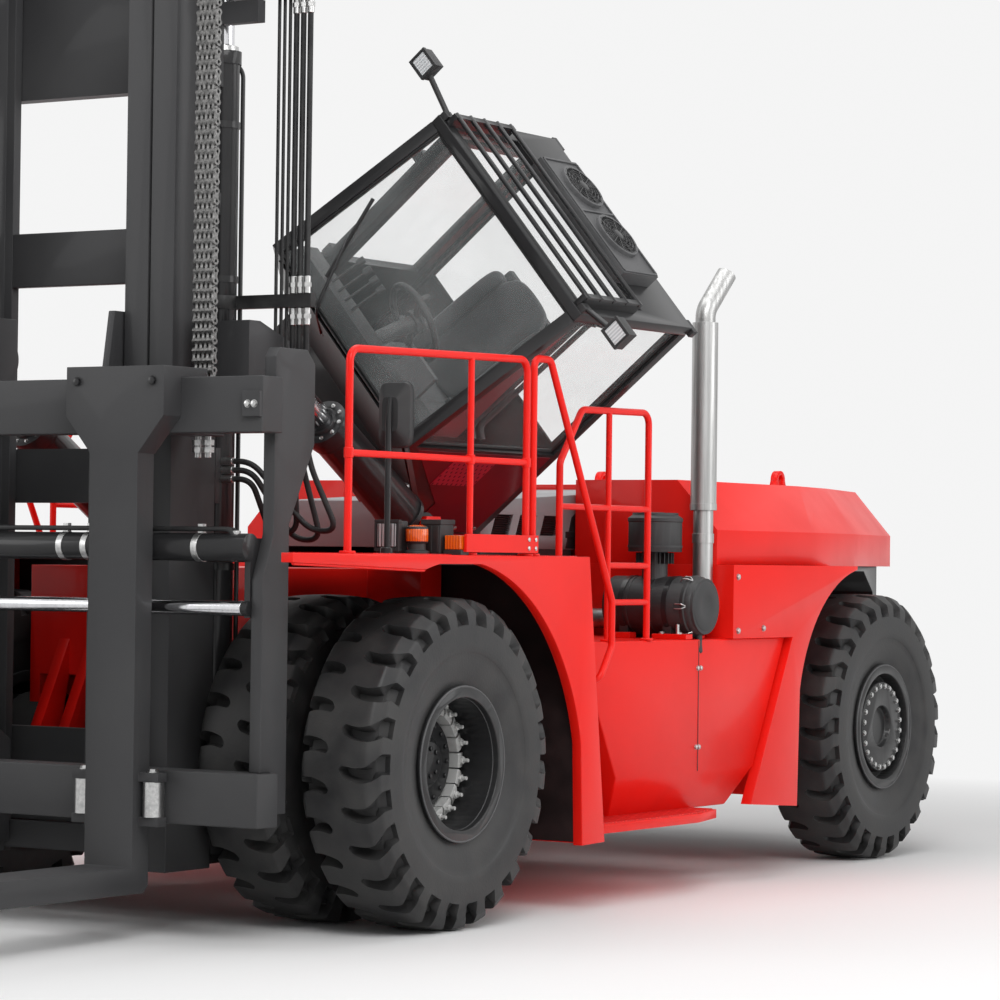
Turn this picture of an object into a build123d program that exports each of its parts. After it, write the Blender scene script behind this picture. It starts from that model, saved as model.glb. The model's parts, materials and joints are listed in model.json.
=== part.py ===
"""Heavy counterbalance forklift with its cab rolled over sideways for service.

+X is the truck's left, -Y is forward and +Z is up.  Everything is laid out from the truck's
centre plane, the front axle and the floor, then moved so that the origin is the middle of the
footprint.  All sizes are millimetres.
"""
from build123d import *
import math
import os

# Wheels and axles
TYRE_R = 746.5            # 16.00-25 tyre
TYRE_W = 430.0
RIM_R = 317.5             # bead seat of a 25 inch rim
RIM_FLANGE_R = 352.0
RIM_WALL = 20.0
DUAL_INNER_X = 971.0      # middle of the inner twin
DUAL_OUTER_X = 1530.0     # middle of the outer twin
REAR_X = 1310.0
WHEELBASE = 4762.0
HUB_R = 235.0
SPINDLE_R = 120.0
RUN_FIT = 0.05            # radial clearance of a shaft in its bore
KINGPIN_X = 1115.0
KINGPIN_R = 45.0

# Body
DECK_TOP = 1680.0
DECK_T = 40.0
FENDER_X = 1740.0         # outer face of the front fenders
FENDER_IN_X = 762.0
HORN_IN_X = 1465.0        # the fender's front end passes outside the carriage
FRAME_X = 660.0           # outer face of the frame between the front tyres
REAR_FRAME_X = 430.0
FRAME_T = 60.0
FRAME_Z = (470.0, 1610.0)
FRAME_FRONT_Y = -140.0
FRAME_NOSE_Z = 1090.0     # the front cross-member passes over the differential
AXLE_SEAT_Z = 1010.0      # the frame's underside on the steer axle
WEIGHT_SEAT_Z = 1125.0    # top of the frame under the counterweight
AXLE_FLANGE_R = 250.0
TAIL_Y = WHEELBASE + 1088.0
PANEL_X = 1560.0
PANEL_TOP = 1270.0
PANEL_CREASE = 600.0
PANEL_Z = 400.0
STEP_T = 44.0
REAR_FENDER_X = 1600.0
ARM_X = 1500.0            # outer face of the counterweight's side arms
ARM_IN_X = 645.0
ARM_FRONT_Y = WHEELBASE - 2002.0
CW_FRONT_Y = WHEELBASE - 1022.0
CW_Z = (1650.0, 1830.0, 2090.0)
HOOD_X = 620.0
HOOD_Y = (1860.0, WHEELBASE - 1052.0)
HOOD_Z = (1720.0, 1960.0, 2060.0)
HOOD_T = 25.0
STACK = (1450.0, WHEELBASE - 2064.0)
STACK_Z = 1360.0
STACK_R = 52.0
AIR_CAN = (1060.0, 1585.0, WHEELBASE - 2272.0, 1437.0, 150.0)   # x limits, y, z and radius
DRUM = (1290.0, WHEELBASE - 2282.0, 1712.0)

# Mast, upright
PIVOT_Y = -330.0
PIVOT_Z = 640.0
PIVOT_R = 55.0
MAST_Y = (-850.0, -520.0)
INNER_Y = (-850.0, -528.0)
FLANGE_T = 50.0
OUTER_X = (580.0, 710.0)
INNER_X = (440.0, 568.0)
WEB_T = 32.0
OUTER_Z = (260.0, 4500.0)
INNER_Z = (280.0, 4600.0)
LIFT_X = 650.0
LIFT_Y = -430.0
LIFT_R = 80.0
LIFT_Z = (320.0, 3950.0)
LIFT_ROD_R = 55.0
CROSSHEAD_Z = (4600.0, 4760.0)
CHAIN_X = 842.0
CHAIN_W = 112.0
CHAIN_T = 44.0
CHAIN_Y = (-790.0, -490.0)
SHEAVE_Z = 4680.0
SHEAVE_PIN_R = 45.0
CHAIN_FOOT_Z = 2340.0
CHAIN_TAIL_Z = SHEAVE_Z - 520.0
TILT_X = 875.0
TILT_R = 108.0
TILT_ROD_R = 60.0
TILT_EYE = (-350.0, 2550.0)
TILT_ANCHOR = (870.0, 1800.0)
TILT_BARREL = 800.0
TILT_PIN_R = 40.0

# Carriage and forks
BEAM_Y = (-1175.0, -1025.0)
BEAM_X = 1440.0
BEAM_LOW_Z = (510.0, 740.0)
BEAM_TOP_Z = (2190.0, 2430.0)
END_X = (1340.0, 1400.0)
ROLLER_PLATE_X = (388.0, 424.0)
ROLLER_R = 112.0
CARRIAGE_ROLLER_R = 108.0
FORK_X = 745.0
FORK_W = 260.0
FORK_Y = (-1300.0, -1185.0)
FORK_Z = (210.0, 325.0)
FORK_LENGTH = 2400.0
FORK_TIP_T = 35.0
HOOK_W = 530.0
HOOK_Z = 2100.0
HOOK_TOP = 2475.0
SEAT_GAP = 0.5            # a fork hangs this close to its beam

# Cab, drawn upright from its hinge at the lower left edge, then rolled to the left
CAB_HINGE_X = 570.0
CAB_HINGE_Z = 1725.0
CAB_ROLL = 50.5
CAB_W = 1260.0
CAB_H = 1640.0
CAB_ROOF_Y = (720.0, 1790.0)
CAB_BELLY = (430.0, 720.0)   # y and height of the windscreen's lower edge
CAB_FOOT = (1050.0, 280.0)   # y and height where the front panel starts to lean
CAB_HINGES = (1130.0, 1640.0)
DOOR_FRONT_Y = 950.0
CAB_POST = 60.0
ROOF_T = 55.0
GLASS_T = 8.0

REACH_FRONT = FORK_Y[0] - FORK_LENGTH
TOW_Y = TAIL_Y + 50.0
TOW_R = 70.0
LAMP_RISE = 160.0         # work lamps above the roof
LAMP_OUT = 270.0          # work lamps outside the cab's side
LAMP_W = 110.0
CAB_REACH = (
    CAB_HINGE_X
    + (CAB_H + ROOF_T + LAMP_RISE) * math.sin(math.radians(CAB_ROLL))
    + LAMP_OUT * math.cos(math.radians(CAB_ROLL))
)
CENTRE_X = -(CAB_REACH - DUAL_OUTER_X - TYRE_W / 2) / 2
FRONT_AXLE_Y = -(REACH_FRONT + TOW_Y + TOW_R) / 2

nodes = {}


def box(x, y, z):
    """Block between three pairs of limits."""
    size = (x[1] - x[0], y[1] - y[0], z[1] - z[0])
    middle = ((x[0] + x[1]) / 2, (y[0] + y[1]) / 2, (z[0] + z[1]) / 2)
    return Pos(*middle) * Box(*size)


def plate(outline, x):
    """Plate cut to an outline of (y, z) points, between two x limits."""
    edge = Polyline(*[(x[0], y, z) for y, z in outline], close=True)
    return extrude(make_face(edge), amount=x[1] - x[0], dir=(1, 0, 0))


def bar(start, end, radius):
    """Round bar between two points."""
    axis = Vector(*end) - Vector(*start)
    seat = Plane(origin=start, z_dir=axis)
    return seat * Cylinder(radius, axis.length, align=(Align.CENTER, Align.CENTER, Align.MIN))


def pipe(points, radius, bend):
    """Round pipe along straight runs with equal bends."""
    path = FilletPolyline(*points, radius=bend)
    return sweep(Plane(origin=path @ 0, z_dir=path % 0) * Circle(radius), path)


def turned(profile):
    """Solid of revolution about the X axis from (x, radius) points."""
    edge = Polyline(*[(x, r, 0) for x, r in profile], close=True)
    return revolve(make_face(edge), Axis.X)


def both_sides(piece):
    """The piece and its mirror image across the truck's centre plane."""
    return piece + mirror(piece, about=Plane.YZ)


def add(name, piece):
    nodes[name] = piece


def add_pair(name, piece):
    add(name + "_left", piece)
    add(name + "_right", mirror(piece, about=Plane.YZ))


# Tyres and wheels
def tyre(middle):
    """Tyre out to the tips of its lugs, with rounded shoulders."""
    half = TYRE_W / 2
    shoulder = 60.0
    bead = half - 45.0
    outline = [
        (-bead, RIM_R),
        (-bead, RIM_FLANGE_R + 8),
        (-half, RIM_FLANGE_R + 110),
        (-half, TYRE_R - shoulder),
        (-half + shoulder, TYRE_R),
        (half - shoulder, TYRE_R),
        (half, TYRE_R - shoulder),
        (half, RIM_FLANGE_R + 110),
        (bead, RIM_FLANGE_R + 8),
        (bead, RIM_R),
    ]
    return turned([(middle + x, r) for x, r in outline])


def rim(middle):
    """Rim barrel with its two flanges."""
    half = TYRE_W / 2 - 45.0
    lip = 22.0
    return turned([
        (middle - half - lip, RIM_FLANGE_R),
        (middle - half, RIM_FLANGE_R),
        (middle - half, RIM_R),
        (middle + half, RIM_R),
        (middle + half, RIM_FLANGE_R),
        (middle + half + lip, RIM_FLANGE_R),
        (middle + half + lip, RIM_R - RIM_WALL),
        (middle - half - lip, RIM_R - RIM_WALL),
    ])


def front_wheels():
    """Twin rims on one planetary hub."""
    inner_end = DUAL_INNER_X - 190.0
    face = DUAL_OUTER_X - 10.0
    hub = turned([
        (inner_end, SPINDLE_R + RUN_FIT),
        (inner_end, HUB_R),
        (face - 120, HUB_R),
        (face, HUB_R - 35),
        (face, 120.0),
        (face + 25, 95.0),
        (face + 25, 0.0),
        (face - 60, 0.0),
        (face - 60, SPINDLE_R + RUN_FIT),
    ])
    wheel = hub
    for middle, web in ((DUAL_INNER_X, DUAL_INNER_X + 120.0), (DUAL_OUTER_X, DUAL_OUTER_X - 110.0)):
        wheel += rim(middle)
        wheel += turned([
            (web - 20, HUB_R - 5),
            (web + 20, HUB_R - 5),
            (web + 20, RIM_R - 5),
            (web - 20, RIM_R - 5),
        ])
    return wheel


def rear_wheel():
    """Rim with a hub that stands out to the tyre's outer face."""
    face = REAR_X + 130.0
    hub_in = REAR_X + 10.0
    bore = SPINDLE_R * 0.6 + RUN_FIT
    hub = turned([
        (hub_in, bore),
        (hub_in, 170.0),
        (face - 10, 185.0),
        (face, 262.0),
        (face + 45, 250.0),
        (face + 45, 118.0),
        (face + 10, 108.0),
        (face + 10, 0.0),
        (face - 20, 0.0),
        (face - 20, bore),
    ])
    web = turned([
        (face - 40, 165.0),
        (face - 5, 165.0),
        (face - 25, RIM_R - 5),
        (face - 60, RIM_R - 5),
    ])
    return hub + web + rim(REAR_X)


FRONT = Pos(0, 0, TYRE_R)
REAR = Pos(0, WHEELBASE, TYRE_R)
add_pair("front_tyres", FRONT * (tyre(DUAL_INNER_X) + tyre(DUAL_OUTER_X)))
add_pair("front_wheels", FRONT * front_wheels())
add_pair("rear_tyre", REAR * tyre(REAR_X))
add_pair("rear_wheel", REAR * rear_wheel())


def drive_axle():
    """Axle housing with its differential, brake flanges and wheel spindles."""
    half = turned([
        (0.0, 0.0),
        (0.0, 330.0),
        (120.0, 320.0),
        (260.0, 190.0),
        (560.0, 175.0),
        (590.0, AXLE_FLANGE_R),
        (DUAL_INNER_X - 200.0, AXLE_FLANGE_R),
        (DUAL_INNER_X - 200.0, SPINDLE_R),
        (DUAL_OUTER_X - 80.0, SPINDLE_R),
        (DUAL_OUTER_X - 80.0, 0.0),
    ])
    return both_sides(FRONT * half)


def steer_axle():
    """Axle beam with forked ends that hold the king pins, and the steering cylinder."""
    beam = box((-KINGPIN_X + 190, KINGPIN_X - 190), (-150, 150), (-150, 130))
    pad = box((-330, 330), (-190, 190), (130, AXLE_SEAT_Z - TYRE_R))
    jaws = []
    for low, high in ((-215.0, -125.0), (125.0, 215.0)):
        jaw = box((KINGPIN_X - 200, KINGPIN_X + 60), (-75, 75), (low, high))
        jaws.append(jaw - Pos(KINGPIN_X, 0, 0) * Cylinder(KINGPIN_R + RUN_FIT, 600))
    wall = box((KINGPIN_X - 200, KINGPIN_X - 120), (-75, 75), (-215, 215))
    cylinder = bar((-420, 215, 0), (420, 215, 0), 65)
    saddle = box((-60, 60), (140, 215), (-60, 60))
    whole = beam + pad + cylinder + saddle + both_sides(jaws[0] + jaws[1] + wall)
    return REAR * whole


def knuckle():
    """Steering knuckle with its king pin, wheel spindle and steering arm."""
    body = box((KINGPIN_X - 70, KINGPIN_X + 90), (-85, 85), (-119, 119))
    pin = bar((KINGPIN_X, 0, -225), (KINGPIN_X, 0, 225), KINGPIN_R)
    spindle = bar((KINGPIN_X + 80, 0, 0), (REAR_X + 105, 0, 0), SPINDLE_R * 0.6)
    arm = plate([(70, -40), (250, -25), (250, 25), (70, 40)], (KINGPIN_X + 20, KINGPIN_X + 70))
    return REAR * (body + pin + spindle + arm)


add("drive_axle", drive_axle())
add("steer_axle", steer_axle())
add_pair("knuckle", knuckle())


# Frame and body
def chassis_frame():
    """Two deep side plates, narrower behind, with the cross-members and brackets they carry."""
    low, high = FRAME_Z
    front = plate([
        (-40, low + 40),
        (FRAME_FRONT_Y, low + 330),
        (FRAME_FRONT_Y, high),
        (1750, high),
        (1750, low),
        (60, low),
    ], (FRAME_X - FRAME_T, FRAME_X))
    front -= bar((0, 0, TYRE_R), (2000, 0, TYRE_R), AXLE_FLANGE_R)
    rear = plate([
        (1690, low),
        (1690, 1560),
        (WHEELBASE - 1062, 1560),
        (WHEELBASE - 812, WEIGHT_SEAT_Z),
        (WHEELBASE + 478, WEIGHT_SEAT_Z),
        (WHEELBASE + 478, AXLE_SEAT_Z),
        (WHEELBASE - 512, AXLE_SEAT_Z),
        (WHEELBASE - 812, low),
    ], (REAR_FRAME_X - FRAME_T, REAR_FRAME_X))
    rear -= bar((0, STACK[1], STACK_Z), (2000, STACK[1], STACK_Z), STACK_R + 12)
    step = box((REAR_FRAME_X - FRAME_T, FRAME_X), (1690, 1750), (low, 1560))
    outrigger = box((FRAME_X - 5, TILT_X + 95), (780, 960), (1420, DECK_TOP - DECK_T))
    sides = both_sides(front + rear + step + outrigger)
    inside = FRAME_X - FRAME_T + 2
    narrow = REAR_FRAME_X - FRAME_T + 2
    top = box((-inside, inside), (FRAME_FRONT_Y + 80, 1750), (high - 40, high))
    nose = box((-inside, inside), (FRAME_FRONT_Y, FRAME_FRONT_Y + 80), (FRAME_NOSE_Z, high))
    middle = box((-inside, inside), (1200, 1260), (low, high))
    back = box((-narrow, narrow), (WHEELBASE - 1162, WHEELBASE - 1082), (low, 1560))
    seat = box((-narrow, narrow), (WHEELBASE - 262, WHEELBASE + 338), (AXLE_SEAT_Z, WEIGHT_SEAT_Z))
    return sides + top + nose + middle + back + seat


def mast_feet():
    """Brackets at the front of the frame that hold the mast's lower pins."""
    outline = [
        (FRAME_FRONT_Y, 1260),
        (PIVOT_Y - 95, PIVOT_Z + 60),
        (PIVOT_Y - 95, PIVOT_Z - 40),
        (PIVOT_Y, PIVOT_Z - 95),
        (PIVOT_Y + 85, PIVOT_Z - 40),
        (PIVOT_Y + 115, PIVOT_Z + 120),
        (FRAME_FRONT_Y, FRAME_NOSE_Z),
    ]
    lugs = plate(outline, (250, 310)) + plate(outline, (420, 480))
    pin = bar((245, PIVOT_Y, PIVOT_Z), (485, PIVOT_Y, PIVOT_Z), PIVOT_R)
    return both_sides(lugs + pin)


add("chassis_frame", chassis_frame())


def front_fender():
    """Deck over the twin tyres, with a curved arch band outside and a skirt behind the wheel."""
    deck = box((FENDER_IN_X, FENDER_X), (-700, 1060), (DECK_TOP - DECK_T, DECK_TOP))
    under = DECK_TOP - DECK_T
    plan = Polyline(
        (FENDER_X, -1360, under),
        (FENDER_X, -690, under),
        (HORN_IN_X, -690, under),
        (FENDER_X - 60, -1360, under),
        close=True,
    )
    horn = extrude(make_face(plan), amount=DECK_T, dir=(0, 0, 1))
    arch = make_face(
        Polyline(
            (FENDER_X, -1360, 1640),
            (FENDER_X, -350, 1615),
        )
        + ThreePointArc((FENDER_X, -350, 1615), (FENDER_X, 610, 1420), (FENDER_X, 1000, 800))
        + Polyline(
            (FENDER_X, 1000, 800),
            (FENDER_X, 1020, 320),
            (FENDER_X, 1230, 325),
            (FENDER_X, 1060, DECK_TOP),
            (FENDER_X, -1360, DECK_TOP),
            (FENDER_X, -1360, 1640),
        )
    )
    band = extrude(arch, amount=50, dir=(-1, 0, 0))
    skirt = plate([
        (1025, 330),
        (1065, 330),
        (1050, DECK_TOP - DECK_T),
        (1010, DECK_TOP - DECK_T),
    ], (FRAME_X, FENDER_X - 45))
    return deck + horn + band + skirt


def side_panel():
    """Tank housing between the axles: flat side, lower edge tucked in, slanted front."""
    section = Polyline(
        (FRAME_X, 0, PANEL_Z),
        (PANEL_X - 110, 0, PANEL_Z),
        (PANEL_X, 0, PANEL_CREASE),
        (PANEL_X, 0, PANEL_TOP),
        (FRAME_X, 0, PANEL_TOP),
        close=True,
    )
    block = extrude(Pos(0, 1100, 0) * make_face(section), amount=WHEELBASE - 2422, dir=(0, 1, 0))
    wedge = plate([
        (1000, PANEL_Z - 10),
        (1760, PANEL_Z - 10),
        (1260, PANEL_TOP + 10),
        (1000, PANEL_TOP + 10),
    ], (FRAME_X - 5, PANEL_X + 10))
    tail = plate([
        (WHEELBASE - 1802, PANEL_Z - 10),
        (WHEELBASE - 1312, PANEL_Z - 10),
        (WHEELBASE - 1312, PANEL_TOP + 10),
        (WHEELBASE - 1342, PANEL_TOP + 10),
    ], (FRAME_X - 5, PANEL_X + 10))
    return block - wedge - tail


def step_plate():
    """Bottom step under the tank housing, and the ladder in the well in front of it."""
    tread = Polyline(
        (FRAME_X + 200, 1250, 0),
        (PANEL_X + 130, 1250, 0),
        (PANEL_X + 130, WHEELBASE - 2512, 0),
        (PANEL_X + 40, WHEELBASE - 2162, 0),
        (FRAME_X + 200, WHEELBASE - 2162, 0),
        close=True,
    )
    tread = extrude(Pos(0, 0, PANEL_Z - STEP_T) * make_face(tread), amount=STEP_T)
    strip = plate([
        (1250, PANEL_Z - 20),
        (1480, PANEL_Z - 20),
        (1125, DECK_TOP),
        (1070, DECK_TOP),
    ], (PANEL_X - 30, PANEL_X + 30))
    stile = plate([
        (1260, PANEL_Z - 20),
        (1330, PANEL_Z - 20),
        (1150, 1500),
        (1080, 1500),
    ], (FRAME_X + 280, FRAME_X + 310))
    rungs = None
    for z, y in ((780.0, 1180.0), (1180.0, 1110.0)):
        rung = box((FRAME_X + 290, PANEL_X - 20), (y, y + 140), (z, z + 30))
        rungs = rung if rungs is None else rungs + rung
    return tread + strip + stile + rungs


def rear_fender():
    """Body side from the tank to the steered wheel, with the arch that lets the wheel turn."""
    x = REAR_FENDER_X
    front = WHEELBASE - 1242
    rear = WHEELBASE - 562
    seam = WHEELBASE - 1332
    face = make_face(
        Polyline(
            (x, seam, PANEL_TOP),
            (x, seam - 455, 405),
            (x, front - 20, 370),
            (x, front, 990),
        )
        + ThreePointArc((x, front, 990), (x, front + 220, 1390), (x, rear, 1630))
        + Polyline(
            (x, rear, 1630),
            (x, rear, CW_Z[0]),
            (x, ARM_FRONT_Y, CW_Z[0]),
            (x, ARM_FRONT_Y, PANEL_TOP),
            (x, seam, PANEL_TOP),
        )
    )
    side = extrude(face, amount=60, dir=(-1, 0, 0))
    liner = plate([
        (front - 80, 420),
        (front - 40, 420),
        (front - 20, 990),
        (front + 200, 1420),
        (rear - 50, CW_Z[0]),
        (rear - 150, CW_Z[0]),
        (front + 160, 1460),
        (front - 60, 1000),
    ], (REAR_FRAME_X, REAR_FENDER_X - 55))
    shelf = box((HOOD_X + 20, REAR_FENDER_X - 55), (ARM_FRONT_Y, ARM_FRONT_Y + 40), (PANEL_TOP, CW_Z[0]))
    return side + liner + shelf


add("front_fenders", both_sides(front_fender()))
add("side_panels", both_sides(side_panel()))
add("steps", both_sides(step_plate()))
add("rear_fenders", both_sides(rear_fender()))


CW_ROWS = (
    # y, half width at the crease, y at the top, half width at the top
    (ARM_FRONT_Y, ARM_X, ARM_FRONT_Y, 1260.0),
    (WHEELBASE - 922, ARM_X, WHEELBASE - 602, 1250.0),
    (WHEELBASE - 202, 1400.0, WHEELBASE - 62, 1150.0),
    (TAIL_Y - 150, 1075.0, TAIL_Y - 230, 880.0),
    (TAIL_Y, 850.0, TAIL_Y - 120, 720.0),
)
HOOD_HINGE = (CW_FRONT_Y - 16.0, 2075.0)      # y and z of the hood's hinge line
HOOD_PIN_R = 8.0


def level_sheet(half, z):
    """Face at one height from (half width, y) points, the same on both sides."""
    ring = half + [(-x, y) for x, y in reversed(half)]
    return make_face(Polyline(*[(x, y, z) for x, y in ring], close=True))


def counterweight():
    """Faceted tail weight with two arms beside the engine, lifting eyes and the hood's hinge pins."""
    low, crease, high = CW_Z
    edge = [(w, y) for y, w, _, _ in CW_ROWS]
    top = [(w, y) for _, _, y, w in CW_ROWS]
    band = extrude(level_sheet(edge, low), amount=crease - low)
    crown = loft([level_sheet(edge, crease), level_sheet(top, high)])
    bay = box((-ARM_IN_X, ARM_IN_X), (ARM_FRONT_Y - 10, CW_FRONT_Y), (low - 10, high + 10))
    y = WHEELBASE + 398
    foot, tip = high - 4, high + 70
    eye = plate([(y - 80, foot), (y + 80, foot), (y + 50, tip), (y - 50, tip)], (580, 620))
    eye += bar((580, y, high + 60), (620, y, high + 60), 55)
    eye -= bar((500, y, high + 60), (700, y, high + 60), 30)
    y, z = HOOD_HINGE
    hinge = box((400, 420), (y - 12, CW_FRONT_Y + 5), (z - 13, high))
    hinge += bar((400, y, z), (525, y, z), HOOD_PIN_R)
    return band + crown - bay + both_sides(eye + hinge)


def counterweight_base():
    """Lower part of the weight, cut away over the steered wheels, with the towing lug."""
    low = CW_Z[0]
    tail = [(w * 0.93, y - 25) for y, w, _, _ in CW_ROWS[2:]]
    base = extrude(level_sheet(tail, WEIGHT_SEAT_Z), amount=low - WEIGHT_SEAT_Z)
    base += box((-450, 450), (TAIL_Y - 600, TAIL_Y - 60), (820, WEIGHT_SEAT_Z + 5))
    front, rear = WHEELBASE - 762, WHEELBASE + 938
    tunnel = [(front, 1000), (rear, 1000), (rear - 140, 1500), (rear - 400, 1620), (front, 1620)]
    base -= both_sides(plate(tunnel, (560.0, 1700.0)))
    base += box((-300, 300), (TAIL_Y - 550, TOW_Y), (960, 1010))
    base += Pos(0, TOW_Y, 985) * Cylinder(TOW_R, 50)
    return base - Pos(0, TOW_Y, 985) * Cylinder(30, 400)


def engine_hood():
    """Hinged hood, open below, with three slanted louvre openings in each side."""
    foot, front, rear = HOOD_Z
    y0, y1 = HOOD_Y
    outline = [(y0, foot), (y0, front), (y1, rear), (y1, foot)]
    inner = [
        (y0 + HOOD_T, foot - 1),
        (y0 + HOOD_T, front - HOOD_T),
        (y1 - HOOD_T, rear - HOOD_T),
        (y1 - HOOD_T, foot - 1),
    ]
    hood = plate(outline, (-HOOD_X, HOOD_X)) - plate(inner, (HOOD_T - HOOD_X, HOOD_X - HOOD_T))
    for start in (1960.0, 2200.0, 2440.0):
        slot = [(start, 1790), (start + 170, 1790), (start + 215, 1895), (start + 45, 1895)]
        hood -= plate(slot, (-HOOD_X - 5, HOOD_X + 5))
    y, z = HOOD_HINGE
    barrel = bar((425, y, z), (520, y, z), HOOD_PIN_R + 6)
    barrel += box((425, 520), (y1 - 30, y), (z - 24, z - 9))
    return hood + both_sides(barrel - bar((390, y, z), (540, y, z), HOOD_PIN_R + RUN_FIT))


def engine_block():
    """Engine as one plain mass between the frame plates."""
    rear = WHEELBASE - 1412
    wide = REAR_FRAME_X - FRAME_T
    block = box((-300, 300), (1950, rear), (850, 1560))
    head = box((-220, 220), (2050, rear - 100), (1560, 1680))
    mounts = box((-wide, wide), (2150, 2250), (900, 960))
    mounts += box((-wide, wide), (rear - 300, rear - 200), (900, 960))
    return block + head + mounts


add("counterweight", counterweight())
add("counterweight_base", counterweight_base())
add("engine_hood", engine_hood())
add("engine_block", engine_block())


def exhaust_stack():
    """Pipe out from the engine, then up beside the drum to a curved tail."""
    x, y = STACK
    return pipe([
        (300, y, STACK_Z),
        (x, y, STACK_Z),
        (x, y, 2960),
        (x + 40, y + 150, 3160),
    ], STACK_R, 110)


def air_cleaner():
    """Canister lying across the tank top, with cradle feet."""
    x0, x1, y, z, r = AIR_CAN
    can = bar((x0, y, z), (x1 - 60, y, z), r)
    cap = bar((x1 - 60, y, z), (x1, y, z), r - 8)
    feet = box((x0 + 80, x0 + 130), (y - 110, y + 110), (PANEL_TOP, z - 60))
    feet += box((x1 - 190, x1 - 140), (y - 110, y + 110), (PANEL_TOP, z - 60))
    return can + cap + feet


def pre_cleaner():
    """Round drum with a raised lid, on the neck that feeds the canister."""
    x, y, z = DRUM
    drum = bar((x, y, z), (x, y, z + 170), 138)
    lid = bar((x, y, z + 170), (x, y, z + 200), 118)
    neck = bar((x, y, AIR_CAN[3]), (x, y, z), 66)
    return drum + lid + neck


def engine_bay():
    """Walls below the hood that stand on the tank housings."""
    low, high = PANEL_TOP, HOOD_Z[0]
    wall = box((HOOD_X - HOOD_T, HOOD_X), (HOOD_Y[0], ARM_FRONT_Y), (low, high))
    foot = box((HOOD_X - HOOD_T, FRAME_X + 60), (HOOD_Y[0], ARM_FRONT_Y), (low, low + 20))
    x, y = STACK
    wall -= bar((0, y, STACK_Z), (2000, y, STACK_Z), STACK_R + 12)
    return both_sides(wall + foot)


add("exhaust_stack", exhaust_stack())
add("air_cleaner", air_cleaner() + pre_cleaner())
add("engine_bay", engine_bay())


RAIL_R = 17.0


def handrail(side):
    """Tube rails round the deck: front loop, ladder rail and rear loop."""
    x = side * (FENDER_X - 40.0)
    loop = pipe([
        (x, -905, DECK_TOP),
        (x, -905, 2555),
        (x, 540, 2585),
        (x, 540, DECK_TOP),
    ], RAIL_R, 60)
    loop += bar((x, -905, 2110), (x, 540, 2110), RAIL_R - 2)
    loop += bar((x, 60, DECK_TOP), (x, 60, 2573), RAIL_R - 2)
    ladder = pipe([
        (x, 600, DECK_TOP),
        (x, 600, 2595),
        (x, 745, 2595),
        (x, 1340, 1470),
        (x, 1340, 1250),
        (x, 1225, 1090),
        (side * (PANEL_X + 30), 1225, 1090),
    ], RAIL_R, 45)
    x2 = side * (PANEL_X - 15.0)
    rear = pipe([
        (x2, 1098, DECK_TOP),
        (x2, 1098, 2130),
        (x2, 1300, 2390),
        (x2, 1950, 2400),
        (x2, 1950, PANEL_TOP),
    ], RAIL_R, 60)
    rear += bar((x2, 1560, 2394), (x2, 1560, PANEL_TOP), RAIL_R - 2)
    for start, height in ((1098.0, 1920.0), (1560.0, 1640.0), (1560.0, 1460.0)):
        rear += bar((x2, start, height), (x2, 1950, height), RAIL_R - 2)
    return loop + ladder + rear


def deck_lamps():
    """Lamps and boxes on the deck's front corner."""
    z = DECK_TOP
    lamp = box((1390, 1510), (-230, -150), (z, z + 150))
    amber = bar((1560, -155, z), (1560, -155, z + 50), 30)
    amber += bar((1560, -155, z + 50), (1560, -155, z + 125), 50)
    case = box((1530, 1630), (-70, 40), (z, z + 155))
    side = box((1640, 1720), (-45, 5), (z, z + 85))
    return both_sides(lamp + amber + case + side)


def mirrors():
    """Mirror heads on posts at the deck's front corners."""
    post = pipe([(1500, -310, DECK_TOP), (1500, -310, 2290), (1500, -250, 2400)], 14, 30)
    head = box((1415, 1585), (-274, -234), (2155, 2445))
    return both_sides(post + head)


add("handrails", handrail(1) + handrail(-1))
add("deck_lamps", deck_lamps())
add("mirrors", mirrors())


# Mast
def channel(x, y, z, open_to):
    """Mast section: two flanges and a web at one side."""
    web = (x[1] - WEB_T, x[1]) if open_to < 0 else (x[0], x[0] + WEB_T)
    section = box(x, (y[0], y[0] + FLANGE_T), z) + box(x, (y[1] - FLANGE_T, y[1]), z)
    return section + box(web, y, z)


def inner_section(x, y, z):
    """Inner mast section, an H lying on its side."""
    middle = (x[0] + x[1]) / 2
    section = box(x, (y[0], y[0] + FLANGE_T), z) + box(x, (y[1] - FLANGE_T, y[1]), z)
    return section + box((middle - WEB_T / 2, middle + WEB_T / 2), y, z)


def outer_mast():
    return both_sides(channel(OUTER_X, MAST_Y, OUTER_Z, -1))


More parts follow.
